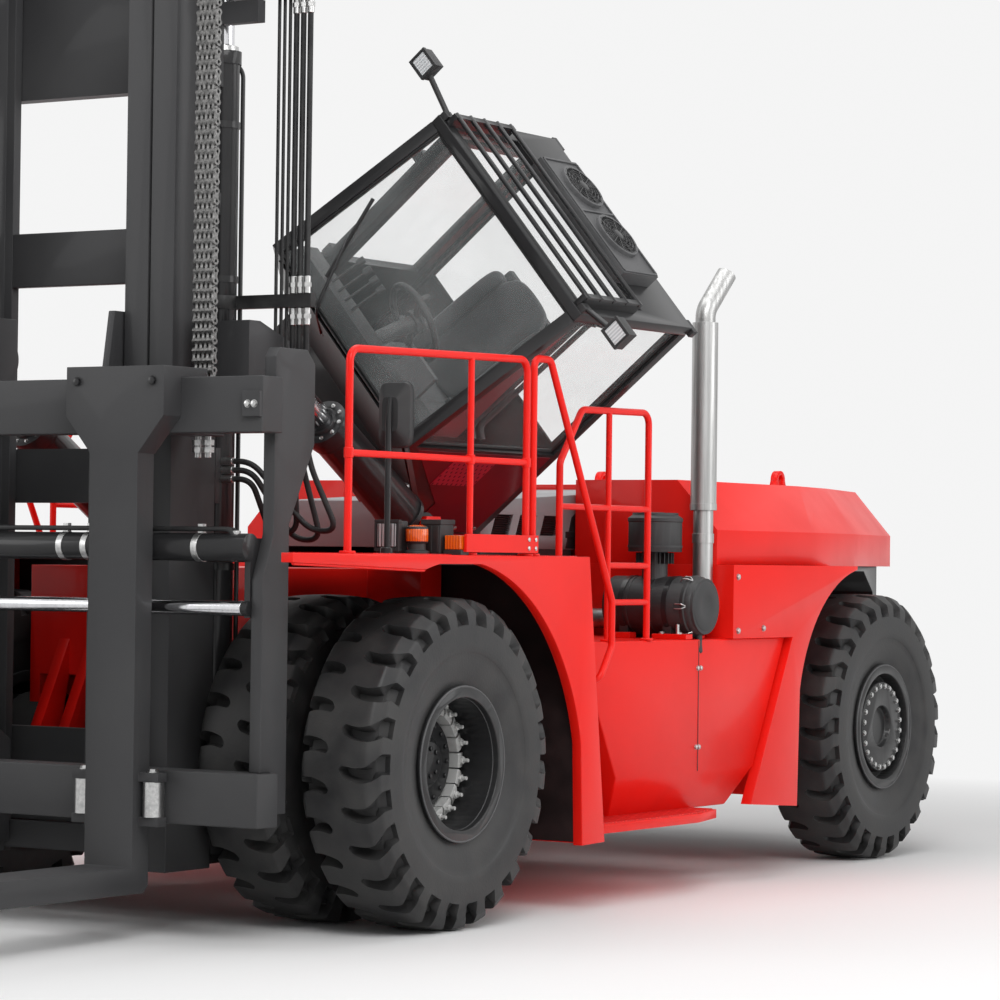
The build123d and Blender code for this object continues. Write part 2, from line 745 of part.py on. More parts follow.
def outer_crossmembers():
    """Ties behind the outer uprights, with the lugs for the foot pins and the tilt rods."""
    y0 = MAST_Y[1]
    wide = OUTER_X[1]
    room = both_sides(bar((LIFT_X, LIFT_Y, 0), (LIFT_X, LIFT_Y, LIFT_Z[1] - 100), LIFT_R + 0.3))
    room += both_sides(bar((LIFT_X, LIFT_Y, LIFT_Z[1] - 200), (LIFT_X, LIFT_Y, 5000), LIFT_R + 12))
    ties = box((-wide, wide), (y0, y0 + 62), (430, 860))
    ties += box((-wide, wide), (y0, y0 + 70), (1900, 2150))
    ties += box((-wide, wide), (y0, y0 + 90), (3780, 4300))
    ties -= room
    lugs = plate([
        (y0 + 60, 860),
        (PIVOT_Y + 60, PIVOT_Z + 75),
        (PIVOT_Y + 90, PIVOT_Z),
        (PIVOT_Y + 60, PIVOT_Z - 75),
        (y0 + 60, 430),
    ], (318, 412))
    lugs -= bar((200, PIVOT_Y, PIVOT_Z), (600, PIVOT_Y, PIVOT_Z), PIVOT_R + RUN_FIT)
    eye_y, eye_z = TILT_EYE
    outline = [
        (y0 - 60, eye_z - 160),
        (eye_y + 20, eye_z - 75),
        (eye_y + 70, eye_z),
        (eye_y + 20, eye_z + 75),
        (y0 - 60, eye_z + 160),
    ]
    ear = plate(outline, (TILT_X - 140, TILT_X - 100)) + plate(outline, (TILT_X + 75, TILT_X + 115))
    ear += box((OUTER_X[1], TILT_X + 115), (y0 - 140, y0 - 55), (eye_z - 160, eye_z + 160))
    ear += bar((TILT_X - 145, eye_y, eye_z), (TILT_X + 120, eye_y, eye_z), TILT_PIN_R)
    anchor = box((wide - 10, CHAIN_X + 70), (y0 + 1, y0 + 55), (CHAIN_TAIL_Z - 100, CHAIN_TAIL_Z))
    return ties + both_sides(lugs + ear + anchor)


def lift_cylinders():
    """Two lift cylinders behind the uprights, open at the top for their rods."""
    low, high = LIFT_Z
    tube = bar((LIFT_X, LIFT_Y, low), (LIFT_X, LIFT_Y, high), LIFT_R)
    tube += bar((LIFT_X, LIFT_Y, high - 60), (LIFT_X, LIFT_Y, high), LIFT_R + 8)
    tube -= bar((LIFT_X, LIFT_Y, low + 60), (LIFT_X, LIFT_Y, high - 80), LIFT_ROD_R + 8)
    tube -= bar((LIFT_X, LIFT_Y, low + 60), (LIFT_X, LIFT_Y, high + 10), LIFT_ROD_R + RUN_FIT)
    foot = box((OUTER_X[0], OUTER_X[1]), (MAST_Y[1], LIFT_Y + LIFT_R), (low - 40, low))
    clamp = box((LIFT_X - 60, LIFT_X + 60), (MAST_Y[1], LIFT_Y - LIFT_R + 5), (3200, 3300))
    return both_sides(tube + foot + clamp)


def mast_hoses():
    """Three hoses down the mast's side, on arms clamped to the lift cylinder and the top tie."""
    y = LIFT_Y + 30
    hoses = None
    for x in (1040.0, 1078.0, 1116.0):
        run = bar((x, y, 2260), (x, y, 4380), 13)
        hoses = run if hoses is None else hoses + run
    for z in (2260.0, 2780.0):
        clamp = bar((LIFT_X, LIFT_Y, z), (LIFT_X, LIFT_Y, z + 60), LIFT_R + 9)
        clamp += box((LIFT_X, 1150), (y - 20, y + 20), (z, z + 60))
        hoses += clamp - bar((LIFT_X, LIFT_Y, z - 10), (LIFT_X, LIFT_Y, z + 70), LIFT_R + 0.3)
    hoses += box((OUTER_X[1], 1150), (LIFT_Y - 28, y + 20), (4180, 4240))
    return both_sides(hoses)


add("outer_mast", outer_mast())
add("outer_crossmembers", outer_crossmembers())
add("lift_cylinders", lift_cylinders())
add("mast_hoses", mast_hoses())


def inner_mast():
    """Inner uprights with the guide rollers that run inside the outer channels."""
    beam = inner_section(INNER_X, INNER_Y, INNER_Z)
    middle_y = (MAST_Y[0] + MAST_Y[1]) / 2
    x0 = (INNER_X[0] + INNER_X[1]) / 2
    for z in (420.0, 1150.0):
        beam += bar((x0, middle_y, z), (OUTER_X[1] - WEB_T - 6, middle_y, z), ROLLER_R)
    return both_sides(beam)


def inner_crossmembers():
    """Foot tie, and the crosshead that the lift rods push and the chain sheaves hang on."""
    back = INNER_Y[1]
    edge = CHAIN_X - CHAIN_W / 2 - 28
    sheave_y = (CHAIN_Y[0] + CHAIN_Y[1]) / 2
    head = box((-edge, edge), (back - FLANGE_T + 10, LIFT_Y + 70), CROSSHEAD_Z)
    cheek = box((INNER_X[0] + 60, edge), (sheave_y - 90, LIFT_Y + 70), CROSSHEAD_Z)
    tip = CHAIN_X + CHAIN_W / 2 + 30
    stub = bar((edge - 5, sheave_y, SHEAVE_Z), (tip, sheave_y, SHEAVE_Z), SHEAVE_PIN_R)
    ties = None
    for low, high in ((300.0, 425.0), (2900.0, 3150.0)):
        tie = box((-INNER_X[0], INNER_X[0]), (back - FLANGE_T, back), (low, high))
        ties = tie if ties is None else ties + tie
    return head + both_sides(cheek + stub) + ties


def lift_rods():
    low = LIFT_Z[1] - 2450
    return both_sides(bar((LIFT_X, LIFT_Y, low), (LIFT_X, LIFT_Y, CROSSHEAD_Z[0]), LIFT_ROD_R))


def chain_sheaves():
    """Grooved sheaves that turn the lift chains over the crosshead."""
    y = (CHAIN_Y[0] + CHAIN_Y[1]) / 2
    r = (CHAIN_Y[1] - CHAIN_Y[0]) / 2 - CHAIN_T / 2
    half = CHAIN_W / 2
    wheel = turned([
        (CHAIN_X - half - 22, SHEAVE_PIN_R + RUN_FIT),
        (CHAIN_X - half - 22, r + 20),
        (CHAIN_X - half - 2, r + 20),
        (CHAIN_X - half - 2, r),
        (CHAIN_X + half + 2, r),
        (CHAIN_X + half + 2, r + 20),
        (CHAIN_X + half + 22, r + 20),
        (CHAIN_X + half + 22, SHEAVE_PIN_R + RUN_FIT),
    ])
    return both_sides(Pos(0, y, SHEAVE_Z) * wheel)


def chain_strand(y, low, high):
    half = CHAIN_W / 2
    return box((CHAIN_X - half, CHAIN_X + half), (y - CHAIN_T / 2, y + CHAIN_T / 2), (low, high))


def chain_wrap():
    """Chain over the top of its sheave."""
    y = (CHAIN_Y[0] + CHAIN_Y[1]) / 2
    r = (CHAIN_Y[1] - CHAIN_Y[0]) / 2
    half = CHAIN_W / 2
    ring = turned([
        (CHAIN_X - half, r - CHAIN_T / 2),
        (CHAIN_X - half, r + CHAIN_T / 2),
        (CHAIN_X + half, r + CHAIN_T / 2),
        (CHAIN_X + half, r - CHAIN_T / 2),
    ])
    upper = box((CHAIN_X - half, CHAIN_X + half), (-r - CHAIN_T, r + CHAIN_T), (0, r + CHAIN_T))
    return Pos(0, y, SHEAVE_Z) * (ring & upper)


add("inner_mast", inner_mast())
add("inner_crossmembers", inner_crossmembers())
add("lift_rods", lift_rods())
add("chain_sheaves", chain_sheaves())
add("lift_chains_front", both_sides(chain_strand(CHAIN_Y[0], CHAIN_FOOT_Z, SHEAVE_Z)))
add("lift_chains_rear", both_sides(chain_strand(CHAIN_Y[1], CHAIN_TAIL_Z, SHEAVE_Z) + chain_wrap()))


# Tilt cylinders
def tilt_frame():
    """Plane at the anchor pin with Z along the cylinder."""
    y0, z0 = TILT_ANCHOR
    y1, z1 = TILT_EYE
    return Plane(origin=(TILT_X, y0, z0), x_dir=(1, 0, 0), z_dir=(0, y1 - y0, z1 - z0))


TILT_LENGTH = math.dist(TILT_ANCHOR, TILT_EYE)


def tilt_barrel():
    """Barrel hung on the anchor pin, bored for its rod."""
    eye = Rot(0, 90, 0) * Cylinder(85, 130)
    neck = Pos(0, 0, 90) * Cylinder(60, 120)
    tube = Pos(0, 0, 130 + TILT_BARREL / 2) * Cylinder(TILT_R, TILT_BARREL)
    gland = Pos(0, 0, TILT_BARREL + 90) * Cylinder(TILT_R + 10, 80)
    bore = Pos(0, 0, TILT_BARREL / 2 + 260) * Cylinder(TILT_ROD_R + RUN_FIT, TILT_BARREL)
    whole = eye + neck + tube + gland - bore - Rot(0, 90, 0) * Cylinder(TILT_PIN_R + RUN_FIT, 400)
    return tilt_frame() * whole


def tilt_rod():
    """Chromed rod whose eye meets the mast's pin."""
    low = 620.0
    top = TILT_LENGTH
    rod = Pos(0, 0, (low + top - 60) / 2) * Cylinder(TILT_ROD_R, top - 60 - low)
    eye = Pos(0, 0, top) * (Rot(0, 90, 0) * Cylinder(85, 130))
    whole = rod + eye - Pos(0, 0, top) * (Rot(0, 90, 0) * Cylinder(TILT_PIN_R + 8, 400))
    return tilt_frame() * whole


def tilt_anchors():
    """Ears on the deck that hold the anchor pins."""
    y, z = TILT_ANCHOR
    ear = plate([(y - 110, DECK_TOP), (y + 110, DECK_TOP), (y + 60, z + 65), (y - 60, z + 65)],
                (TILT_X - 105, TILT_X - 70))
    ear += plate([(y - 110, DECK_TOP), (y + 110, DECK_TOP), (y + 60, z + 65), (y - 60, z + 65)],
                 (TILT_X + 70, TILT_X + 105))
    ear += bar((TILT_X - 110, y, z), (TILT_X + 110, y, z), TILT_PIN_R)
    return both_sides(ear)


add_pair("tilt_barrel", tilt_barrel())
add_pair("tilt_rod", tilt_rod())


# Carriage and forks
def carriage_beams():
    low = box((-BEAM_X, BEAM_X), BEAM_Y, BEAM_LOW_Z)
    top = box((-BEAM_X, BEAM_X), BEAM_Y, BEAM_TOP_Z)
    return low + top


def end_plates():
    """S-shaped side plates that tie the two beams together."""
    outline = [
        (-1100, BEAM_LOW_Z[1]),
        (-1100, 1560),
        (BEAM_Y[1], 1760),
        (BEAM_Y[1], 2520),
        (BEAM_Y[1] + 30, 2560),
        (-790, 2560),
        (-730, 2500),
        (-730, 2150),
        (-910, 1800),
        (-910, BEAM_LOW_Z[1] - 180),
        (BEAM_Y[1], BEAM_LOW_Z[1] - 180),
        (BEAM_Y[1], BEAM_LOW_Z[1]),
    ]
    return both_sides(plate(outline, END_X))


def roller_plates():
    """Plates behind the beams with the rollers that run inside the inner mast."""
    x0 = ROLLER_PLATE_X[0]
    back = -600.0
    side = plate([
        (BEAM_Y[1], 460),
        (BEAM_Y[1], 2330),
        (BEAM_Y[1] + 60, 2350),
        (-900, 2750),
        (back, 2750),
        (back, 2350),
        (-900, 2150),
        (-900, 1000),
        (back, 800),
        (back, 330),
        (-900, 330),
    ], ROLLER_PLATE_X)
    middle_y = (INNER_Y[0] + INNER_Y[1]) / 2
    for z in (480.0, 2560.0):
        side += bar((x0, middle_y, z), (INNER_X[0] + 40, middle_y, z), CARRIAGE_ROLLER_R)
    return both_sides(side)


def chain_anchors():
    """Brackets on the upper beam that take the chains' lower ends."""
    half = CHAIN_W / 2 + 25
    arm = box((CHAIN_X - half, CHAIN_X + half), (BEAM_Y[1], CHAIN_Y[0] + 50), (BEAM_TOP_Z[0], CHAIN_FOOT_Z))
    return both_sides(arm)


def fork_positioner():
    """Cylinder tube and guide rod between the end plates."""
    x = END_X[0]
    tube = bar((-x, -1108, 1700), (x, -1108, 1700), 60)
    guide = bar((-x, -1108, 1440), (x, -1108, 1440), 32)
    seat = both_sides(box((x - 30, x), (-1108, -1030), (1400, 1740)))
    return tube + guide + seat


def fork():
    """Forged L with a hook plate over the upper beam and rollers at the lower one."""
    y0, y1 = FORK_Y
    z0, z1 = FORK_Z
    half = FORK_W / 2
    tip = y0 - FORK_LENGTH
    blade = plate([
        (y0, z0),
        (y1 - 30, z0),
        (y1, z0 + 30),
        (y1, HOOK_TOP - 200),
        (y0, HOOK_TOP - 200),
        (y0, z1),
        (tip, z1),
        (tip, z1 - FORK_TIP_T),
        (tip + 900, z0),
    ], (-half, half))
    wide = HOOK_W / 2
    hook = Polyline(
        (-wide, y0, HOOK_Z + 160),
        (-half, y0, HOOK_Z),
        (half, y0, HOOK_Z),
        (wide, y0, HOOK_Z + 160),
        (wide, y0, HOOK_TOP),
        (-wide, y0, HOOK_TOP),
        close=True,
    )
    hook = extrude(make_face(hook), amount=BEAM_Y[0] - SEAT_GAP - y0, dir=(0, 1, 0))
    cap = box((-wide, wide), (BEAM_Y[0] - 5, BEAM_Y[1] + 35), (BEAM_TOP_Z[1] + SEAT_GAP, HOOK_TOP))
    lip = box((-wide + 60, wide - 60), (BEAM_Y[1] + 5, BEAM_Y[1] + 35), (BEAM_TOP_Z[1] - 70, HOOK_TOP))
    rollers = None
    for side in (-1, 1):
        x = side * (half + 55)
        roller = bar((x, BEAM_Y[0] - 52, 540), (x, BEAM_Y[0] - 52, 690), 46)
        span = tuple(sorted((0.0, side * (half + 105))))
        lugs = box(span, (-1262, -1200), (500, 540)) + box(span, (-1262, -1200), (690, 730))
        piece = roller + lugs
        rollers = piece if rollers is None else rollers + piece
    return Pos(FORK_X, 0, 0) * (blade + hook + cap + lip + rollers)


add("carriage_beams", carriage_beams() + chain_anchors())
add("carriage_plates", end_plates() + roller_plates())
add("fork_positioner", fork_positioner())
add_pair("fork", fork())


# Cab, upright with its hinge at x = 0 and z = 0
LEFT = 0.0
RIGHT = -CAB_W
ROOF_Y0, ROOF_Y1 = CAB_ROOF_Y
ROOF_GLASS_Y = ROOF_Y1 - 420.0
ROOF_BORDER = 80.0
BELLY_Y, BELLY_Z = CAB_BELLY
FOOT_Y, FOOT_Z = CAB_FOOT
FLOOR_Z = 40.0
FLOOR_T = 60.0
SILL_Z = FLOOR_Z + FLOOR_T
CAB_PIN_R = 22.0
DOOR_GAP = 6.0
DOOR_HINGE = (RIGHT - 18.0, DOOR_FRONT_Y + DOOR_GAP / 2)   # x and y of the door's hinge line
DOOR_HINGE_Z = (700.0, 1380.0)
DOOR_HINGE_R = 14.0
DOOR_PIN_R = 8.0
DOOR_KNUCKLE = 60.0


def roll(piece):
    """Turns an upright cab piece over to the left about the hinge."""
    return Pos(CAB_HINGE_X, 0, CAB_HINGE_Z) * (Rot(0, CAB_ROLL, 0) * piece)


def cab_floor():
    """Floor pan with the hinge lugs along its left edge."""
    pan = box((RIGHT, LEFT), (FOOT_Y, ROOF_Y1), (FLOOR_Z, FLOOR_Z + FLOOR_T))
    for y in CAB_HINGES:
        lug = box((-70, 30), (y, y + 70), (-40, FLOOR_Z)) + bar((0, y, 0), (0, y + 70, 0), 40)
        pan += lug - bar((0, y - 20, 0), (0, y + 90, 0), CAB_PIN_R + RUN_FIT)
    return pan


def cab_frame():
    """Corner posts with the rails between them, and the lower panels."""
    p = CAB_POST
    sheet = 22.0
    frame = None
    for x in ((LEFT - p, LEFT), (RIGHT, RIGHT + p)):
        front = [(BELLY_Y, BELLY_Z), (ROOF_Y0, CAB_H), (ROOF_Y0 + p, CAB_H), (BELLY_Y + p, BELLY_Z)]
        posts = plate(front, x)
        posts += plate([
            (FOOT_Y, SILL_Z),
            (FOOT_Y, FOOT_Z),
            (BELLY_Y, BELLY_Z),
            (BELLY_Y + p, BELLY_Z),
            (FOOT_Y + p, FOOT_Z + 20),
            (FOOT_Y + p, SILL_Z),
        ], x)
        posts += box(x, (ROOF_Y1 - p, ROOF_Y1), (SILL_Z, CAB_H))
        frame = posts if frame is None else frame + posts
    front = [(FOOT_Y, SILL_Z), (FOOT_Y, FOOT_Z), (BELLY_Y, BELLY_Z), (BELLY_Y + sheet, BELLY_Z),
             (FOOT_Y + sheet, FOOT_Z + 10), (FOOT_Y + sheet, SILL_Z)]
    frame += plate(front, (RIGHT + p, LEFT - p))
    frame += box((RIGHT + p, LEFT - p), (ROOF_Y1 - sheet, ROOF_Y1), (SILL_Z, BELLY_Z))
    low_side = [(FOOT_Y + p, SILL_Z), (FOOT_Y + p, FOOT_Z + 20), (BELLY_Y + p, BELLY_Z),
                (ROOF_Y1 - p, BELLY_Z), (ROOF_Y1 - p, SILL_Z)]
    frame += plate(low_side, (LEFT - sheet, LEFT))
    quarter = [(BELLY_Y + p, BELLY_Z), (DOOR_FRONT_Y, BELLY_Z), (DOOR_FRONT_Y, FOOT_Z + 115)]
    frame += plate(quarter, (RIGHT, RIGHT + sheet))
    frame += box((RIGHT, RIGHT + p), (DOOR_FRONT_Y - p, DOOR_FRONT_Y), (FOOT_Z + 130, CAB_H))
    hx, hy = DOOR_HINGE
    for z in DOOR_HINGE_Z:
        frame += bar((hx, hy, z), (hx, hy, z + DOOR_KNUCKLE), DOOR_HINGE_R)
        frame += bar((hx, hy, z), (hx, hy, z + 2 * DOOR_KNUCKLE), DOOR_PIN_R)
        frame += box((hx - DOOR_HINGE_R, RIGHT + 2), (DOOR_FRONT_Y - p, DOOR_FRONT_Y), (z, z + DOOR_KNUCKLE))
    return frame


def cab_roof():
    """Roof frame round the top window."""
    border = ROOF_BORDER
    ring = box((RIGHT, LEFT), (ROOF_Y0, ROOF_Y1), (CAB_H, CAB_H + ROOF_T))
    clear = (CAB_H - 5, CAB_H + ROOF_T + 5)
    return ring - box((RIGHT + border, LEFT - border), (ROOF_Y0 + border, ROOF_GLASS_Y), clear)


def cab_glass():
    """Windscreen, left, right quarter, rear and roof panes."""
    p = CAB_POST
    g = GLASS_T
    sill, head = BELLY_Y + 20, ROOF_Y0 + 20
    screen = [(sill, BELLY_Z), (head, CAB_H), (head + g, CAB_H), (sill + g, BELLY_Z)]
    panes = plate(screen, (RIGHT + p, LEFT - p))
    panes += box((RIGHT + p, LEFT - p), (ROOF_Y1 - 20, ROOF_Y1 - 20 + g), (BELLY_Z, CAB_H))
    left = [(BELLY_Y + p, BELLY_Z), (ROOF_Y0 + p, CAB_H), (ROOF_Y1 - p, CAB_H), (ROOF_Y1 - p, BELLY_Z)]
    panes += plate(left, (LEFT - 30, LEFT - 30 + g))
    jamb = DOOR_FRONT_Y - p
    quarter = [(BELLY_Y + p, BELLY_Z), (ROOF_Y0 + p, CAB_H), (jamb, CAB_H), (jamb, BELLY_Z)]
    panes += plate(quarter, (RIGHT + 22, RIGHT + 22 + g))
    border = ROOF_BORDER
    roof_z = (CAB_H + 20, CAB_H + 20 + g)
    panes += box((RIGHT + border, LEFT - border), (ROOF_Y0 + border, ROOF_GLASS_Y), roof_z)
    return panes


DOOR_RIM = 70.0
DOOR_T = 45.0


def door_window():
    """Limits of the door's window in y and z."""
    y = (DOOR_FRONT_Y + DOOR_GAP + DOOR_RIM, ROOF_Y1 - CAB_POST - DOOR_GAP - DOOR_RIM)
    return y, (BELLY_Z, CAB_H - DOOR_GAP - DOOR_RIM)


def cab_door():
    """Right-hand door, hinged at its front edge, with its window cut out."""
    y = (DOOR_FRONT_Y + DOOR_GAP, ROOF_Y1 - CAB_POST - DOOR_GAP)
    panel = box((RIGHT, RIGHT + DOOR_T), y, (SILL_Z + DOOR_GAP, CAB_H - DOOR_GAP))
    toe = [(y[0] - 5, SILL_Z), (FOOT_Y + CAB_POST + DOOR_GAP, SILL_Z),
           (FOOT_Y + CAB_POST + DOOR_GAP, FOOT_Z + 26), (y[0] - 5, FOOT_Z + 190)]
    window_y, window_z = door_window()
    through = (RIGHT - 5, RIGHT + DOOR_T + 5)
    door = panel - box(through, window_y, window_z) - plate(toe, through)
    hx, hy = DOOR_HINGE
    for z in DOOR_HINGE_Z:
        low, high = z + DOOR_KNUCKLE + 1, z + 2 * DOOR_KNUCKLE
        leaf = bar((hx, hy, low), (hx, hy, high), DOOR_HINGE_R)
        leaf += box((hx, RIGHT + 1), (hy + DOOR_PIN_R, y[0] + DOOR_RIM - 10), (low, high))
        door += leaf - bar((hx, hy, low - 5), (hx, hy, high + 5), DOOR_PIN_R + RUN_FIT)
    return door


def door_glass():
    window_y, window_z = door_window()
    return box((RIGHT + 18, RIGHT + 18 + GLASS_T), window_y, window_z)


def cab_seat():
    """Seat base, cushion and back."""
    x = (RIGHT / 2 - 250, RIGHT / 2 + 250)
    base = box((x[0] + 90, x[1] - 90), (1230, 1500), (SILL_Z, 420))
    cushion = box(x, (1080, 1560), (420, 540))
    back = plate([(1470, 540), (1560, 540), (1680, 1180), (1590, 1180)], x)
    return base + cushion + back


def cab_console():
    """Dashboard, steering pedestal, column and wheel."""
    middle = RIGHT / 2
    dash = box((RIGHT + 75, LEFT - 75), (BELLY_Y + 70, BELLY_Y + 210), (BELLY_Z, BELLY_Z + 90))
    pedestal = plate([
        (BELLY_Y + 90, BELLY_Z + 5),
        (BELLY_Y + 200, BELLY_Z + 5),
        (FOOT_Y + 130, FOOT_Z),
        (FOOT_Y + 130, SILL_Z),
        (FOOT_Y + 60, SILL_Z),
        (FOOT_Y + 60, FOOT_Z + 12),
    ], (middle - 110, middle + 110))
    hub = (middle, BELLY_Y + 400, BELLY_Z + 200)
    column = bar((middle, BELLY_Y + 190, BELLY_Z + 20), hub, 40)
    wheel = Plane(origin=hub, z_dir=(0, 210, 180)) * (Torus(190, 16) + Cylinder(60, 30) + Box(380, 30, 14))
    return dash + pedestal + column + wheel


GUARD_BARS = (760.0, 880.0, 1000.0, 1120.0, 1240.0)   # y of each bar over the top window
FAN_R = 130.0
FANS = ((-810.0, 1470.0), (-490.0, 1460.0))           # x and y of each fan


def roof_guard():
    """Bars across the roof window with a bracket at each end."""
    z = CAB_H + 112
    guard = None
    for y in GUARD_BARS:
        tube = bar((RIGHT + 46, y, z), (LEFT - 46, y, z), 12)
        guard = tube if guard is None else guard + tube
    for x in ((RIGHT + 49, RIGHT + 77), (LEFT - 77, LEFT - 49)):
        guard += box(x, (GUARD_BARS[0] - 25, GUARD_BARS[-1] + 25), (CAB_H + ROOF_T, z + 6))
    return guard


def roof_aircon():
    """Cooling unit across the rear of the roof with two round fan rings."""
    top = CAB_H + 130
    unit = box((-1000, -250), (1290, 1620), (CAB_H + ROOF_T, top))
    for x, y in FANS:
        unit += Pos(x, y, top + 12) * (Cylinder(FAN_R, 24) - Pos(0, 0, 6) * Cylinder(FAN_R - 14, 24))
    return unit


def roof_lamps():
    """Work lamps on arms out from the front corners, and marker lamps at the rear ones."""
    lamps = None
    top = CAB_H + ROOF_T
    y = ROOF_Y0 - 30
    for corner, out in ((LEFT - 24, 1), (RIGHT + 24, -1)):
        side = LEFT if out > 0 else RIGHT
        middle = side + out * (LAMP_OUT - LAMP_W / 2)
        foot = box((corner - 20, corner + 20), (ROOF_Y0 + 5, ROOF_Y0 + 65), (top, top + 30))
        arm = bar((corner, ROOF_Y0 + 35, top + 20), (middle, y, top + LAMP_RISE - 60), 14)
        wide = (middle - LAMP_W / 2, middle + LAMP_W / 2)
        head = box(wide, (y - 35, y + 35), (top + LAMP_RISE - 100, top + LAMP_RISE))
        marker = box((corner - 40, corner + 40), (ROOF_Y1, ROOF_Y1 + 40), (CAB_H + 8, CAB_H + 48))
        piece = foot + arm + head + marker
        lamps = piece if lamps is None else lamps + piece
    return lamps


def cab_hinge():
    """Blocks on the frame with the pins that the cab rolls on."""
    blocks = None
    for y in CAB_HINGES:
        pin = bar((CAB_HINGE_X, y - 40, CAB_HINGE_Z), (CAB_HINGE_X, y + 75, CAB_HINGE_Z), CAB_PIN_R)
        post = box((CAB_HINGE_X - 30, CAB_HINGE_X + 25), (y - 45, y - 5), (FRAME_Z[1], CAB_HINGE_Z + 22))
        blocks = pin + post if blocks is None else blocks + pin + post
    return blocks


add("cab_floor", roll(cab_floor()))
add("cab_frame", roll(cab_frame()))
add("cab_roof", roll(cab_roof()))
add("cab_glass", roll(cab_glass()))
add("cab_door", roll(cab_door()))
add("cab_door_glass", roll(door_glass()))
add("cab_seat", roll(cab_seat()))
add("cab_console", roll(cab_console()))
add("roof_guard", roll(roof_guard()))
add("roof_aircon", roll(roof_aircon()))
add("roof_lamps", roll(roof_lamps()))
add("frame_brackets", mast_feet() + tilt_anchors() + cab_hinge())

os.makedirs("parts", exist_ok=True)
for name, piece in nodes.items():
    export_step(Pos(CENTRE_X, FRONT_AXLE_Y, 0) * piece, f"parts/{name}.step")
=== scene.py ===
import json
import math

import bpy
import numpy as np
from mathutils import Matrix, Vector


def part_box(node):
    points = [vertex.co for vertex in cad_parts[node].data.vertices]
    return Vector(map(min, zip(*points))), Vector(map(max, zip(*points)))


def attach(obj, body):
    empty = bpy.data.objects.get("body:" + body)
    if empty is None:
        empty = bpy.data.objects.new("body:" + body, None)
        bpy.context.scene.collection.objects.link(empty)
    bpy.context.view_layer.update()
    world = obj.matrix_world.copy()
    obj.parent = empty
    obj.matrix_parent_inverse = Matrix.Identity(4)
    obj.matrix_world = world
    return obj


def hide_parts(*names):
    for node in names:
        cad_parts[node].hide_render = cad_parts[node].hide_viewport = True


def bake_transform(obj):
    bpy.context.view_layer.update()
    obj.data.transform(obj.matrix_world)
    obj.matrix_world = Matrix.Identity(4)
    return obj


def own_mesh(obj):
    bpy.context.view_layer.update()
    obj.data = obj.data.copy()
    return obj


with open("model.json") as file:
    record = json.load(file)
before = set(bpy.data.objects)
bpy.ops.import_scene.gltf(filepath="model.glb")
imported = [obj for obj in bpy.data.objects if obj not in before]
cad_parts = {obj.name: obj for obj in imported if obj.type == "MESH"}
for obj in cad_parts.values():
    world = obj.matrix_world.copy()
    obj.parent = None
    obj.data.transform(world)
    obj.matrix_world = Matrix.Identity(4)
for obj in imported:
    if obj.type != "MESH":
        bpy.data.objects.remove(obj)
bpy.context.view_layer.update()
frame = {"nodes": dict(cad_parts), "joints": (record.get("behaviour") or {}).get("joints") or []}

# Places are metres from the truck's centre plane, its front axle and the floor, +X to its left
AXLE_LOW, AXLE_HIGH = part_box("drive_axle")
TRUCK = Vector(((AXLE_LOW.x + AXLE_HIGH.x) / 2, (AXLE_LOW.y + AXLE_HIGH.y) / 2, 0.0))
PLACE = Matrix.Translation(TRUCK)
SIDES = (("left", 1), ("right", -1))
OUTWARD = (1, 0, 0)
FORWARD = (0, -1, 0)
UPWARD = (0, 0, 1)


def at(x, y, z):
    """Point of the frame from truck measures."""
    return TRUCK + Vector((x, y, z))


def joint(name):
    return next(row for row in frame["joints"] if row["name"] == name)


# The cab is measured upright from its hinge, and stands rolled over at rest
HINGE = Vector(joint("cab_tilt")["pos_m"])
CAB_ROLL = math.radians(joint("cab_tilt")["range_deg"][1])
CAB = Matrix.Translation((HINGE.x, TRUCK.y, HINGE.z)) @ Matrix.Rotation(CAB_ROLL, 4, "Y")


# Shader expressions
class Signal:
    """A shader socket that takes part in sums."""

    def __init__(self, nodes, link):
        self.nodes = nodes
        self.link = link

    def maths(self, operation, *values):
        return self.nodes.node("ShaderNodeMath", dict(enumerate(values)), operation=operation)

    def __add__(self, other):
        return self.maths("ADD", self, other)

    def __sub__(self, other):
        return self.maths("SUBTRACT", self, other)

    def __rsub__(self, other):
        return self.maths("SUBTRACT", other, self)

    def __mul__(self, other):
        return self.maths("MULTIPLY", self, other)

    __radd__ = __add__
    __rmul__ = __mul__

    def sine(self):
        return self.maths("SINE", self)

    def root(self):
        return self.maths("SQRT", self)

    def larger(self, other):
        return self.maths("MAXIMUM", self, other)


class Nodes:
    """A node tree and the one way to add to it."""

    def __init__(self, tree):
        self.tree = tree

    def node(self, kind, inputs=None, output=0, **settings):
        made = self.tree.nodes.new(kind)
        for key, value in settings.items():
            setattr(made, key, value)
        self.feed(made, inputs or {})
        return Signal(self, made.outputs[output])

    def feed(self, node, inputs):
        for key, value in inputs.items():
            if isinstance(value, Signal):
                self.tree.links.new(value.link, node.inputs[key])
            else:
                node.inputs[key].default_value = value

    def mixed(self, factor, first, second, output):
        """Sends a blend of two shaders to the output node."""
        both = self.node("ShaderNodeMixShader", {0: factor, 1: first, 2: second})
        self.feed(self.tree.nodes[output], {"Surface": both})


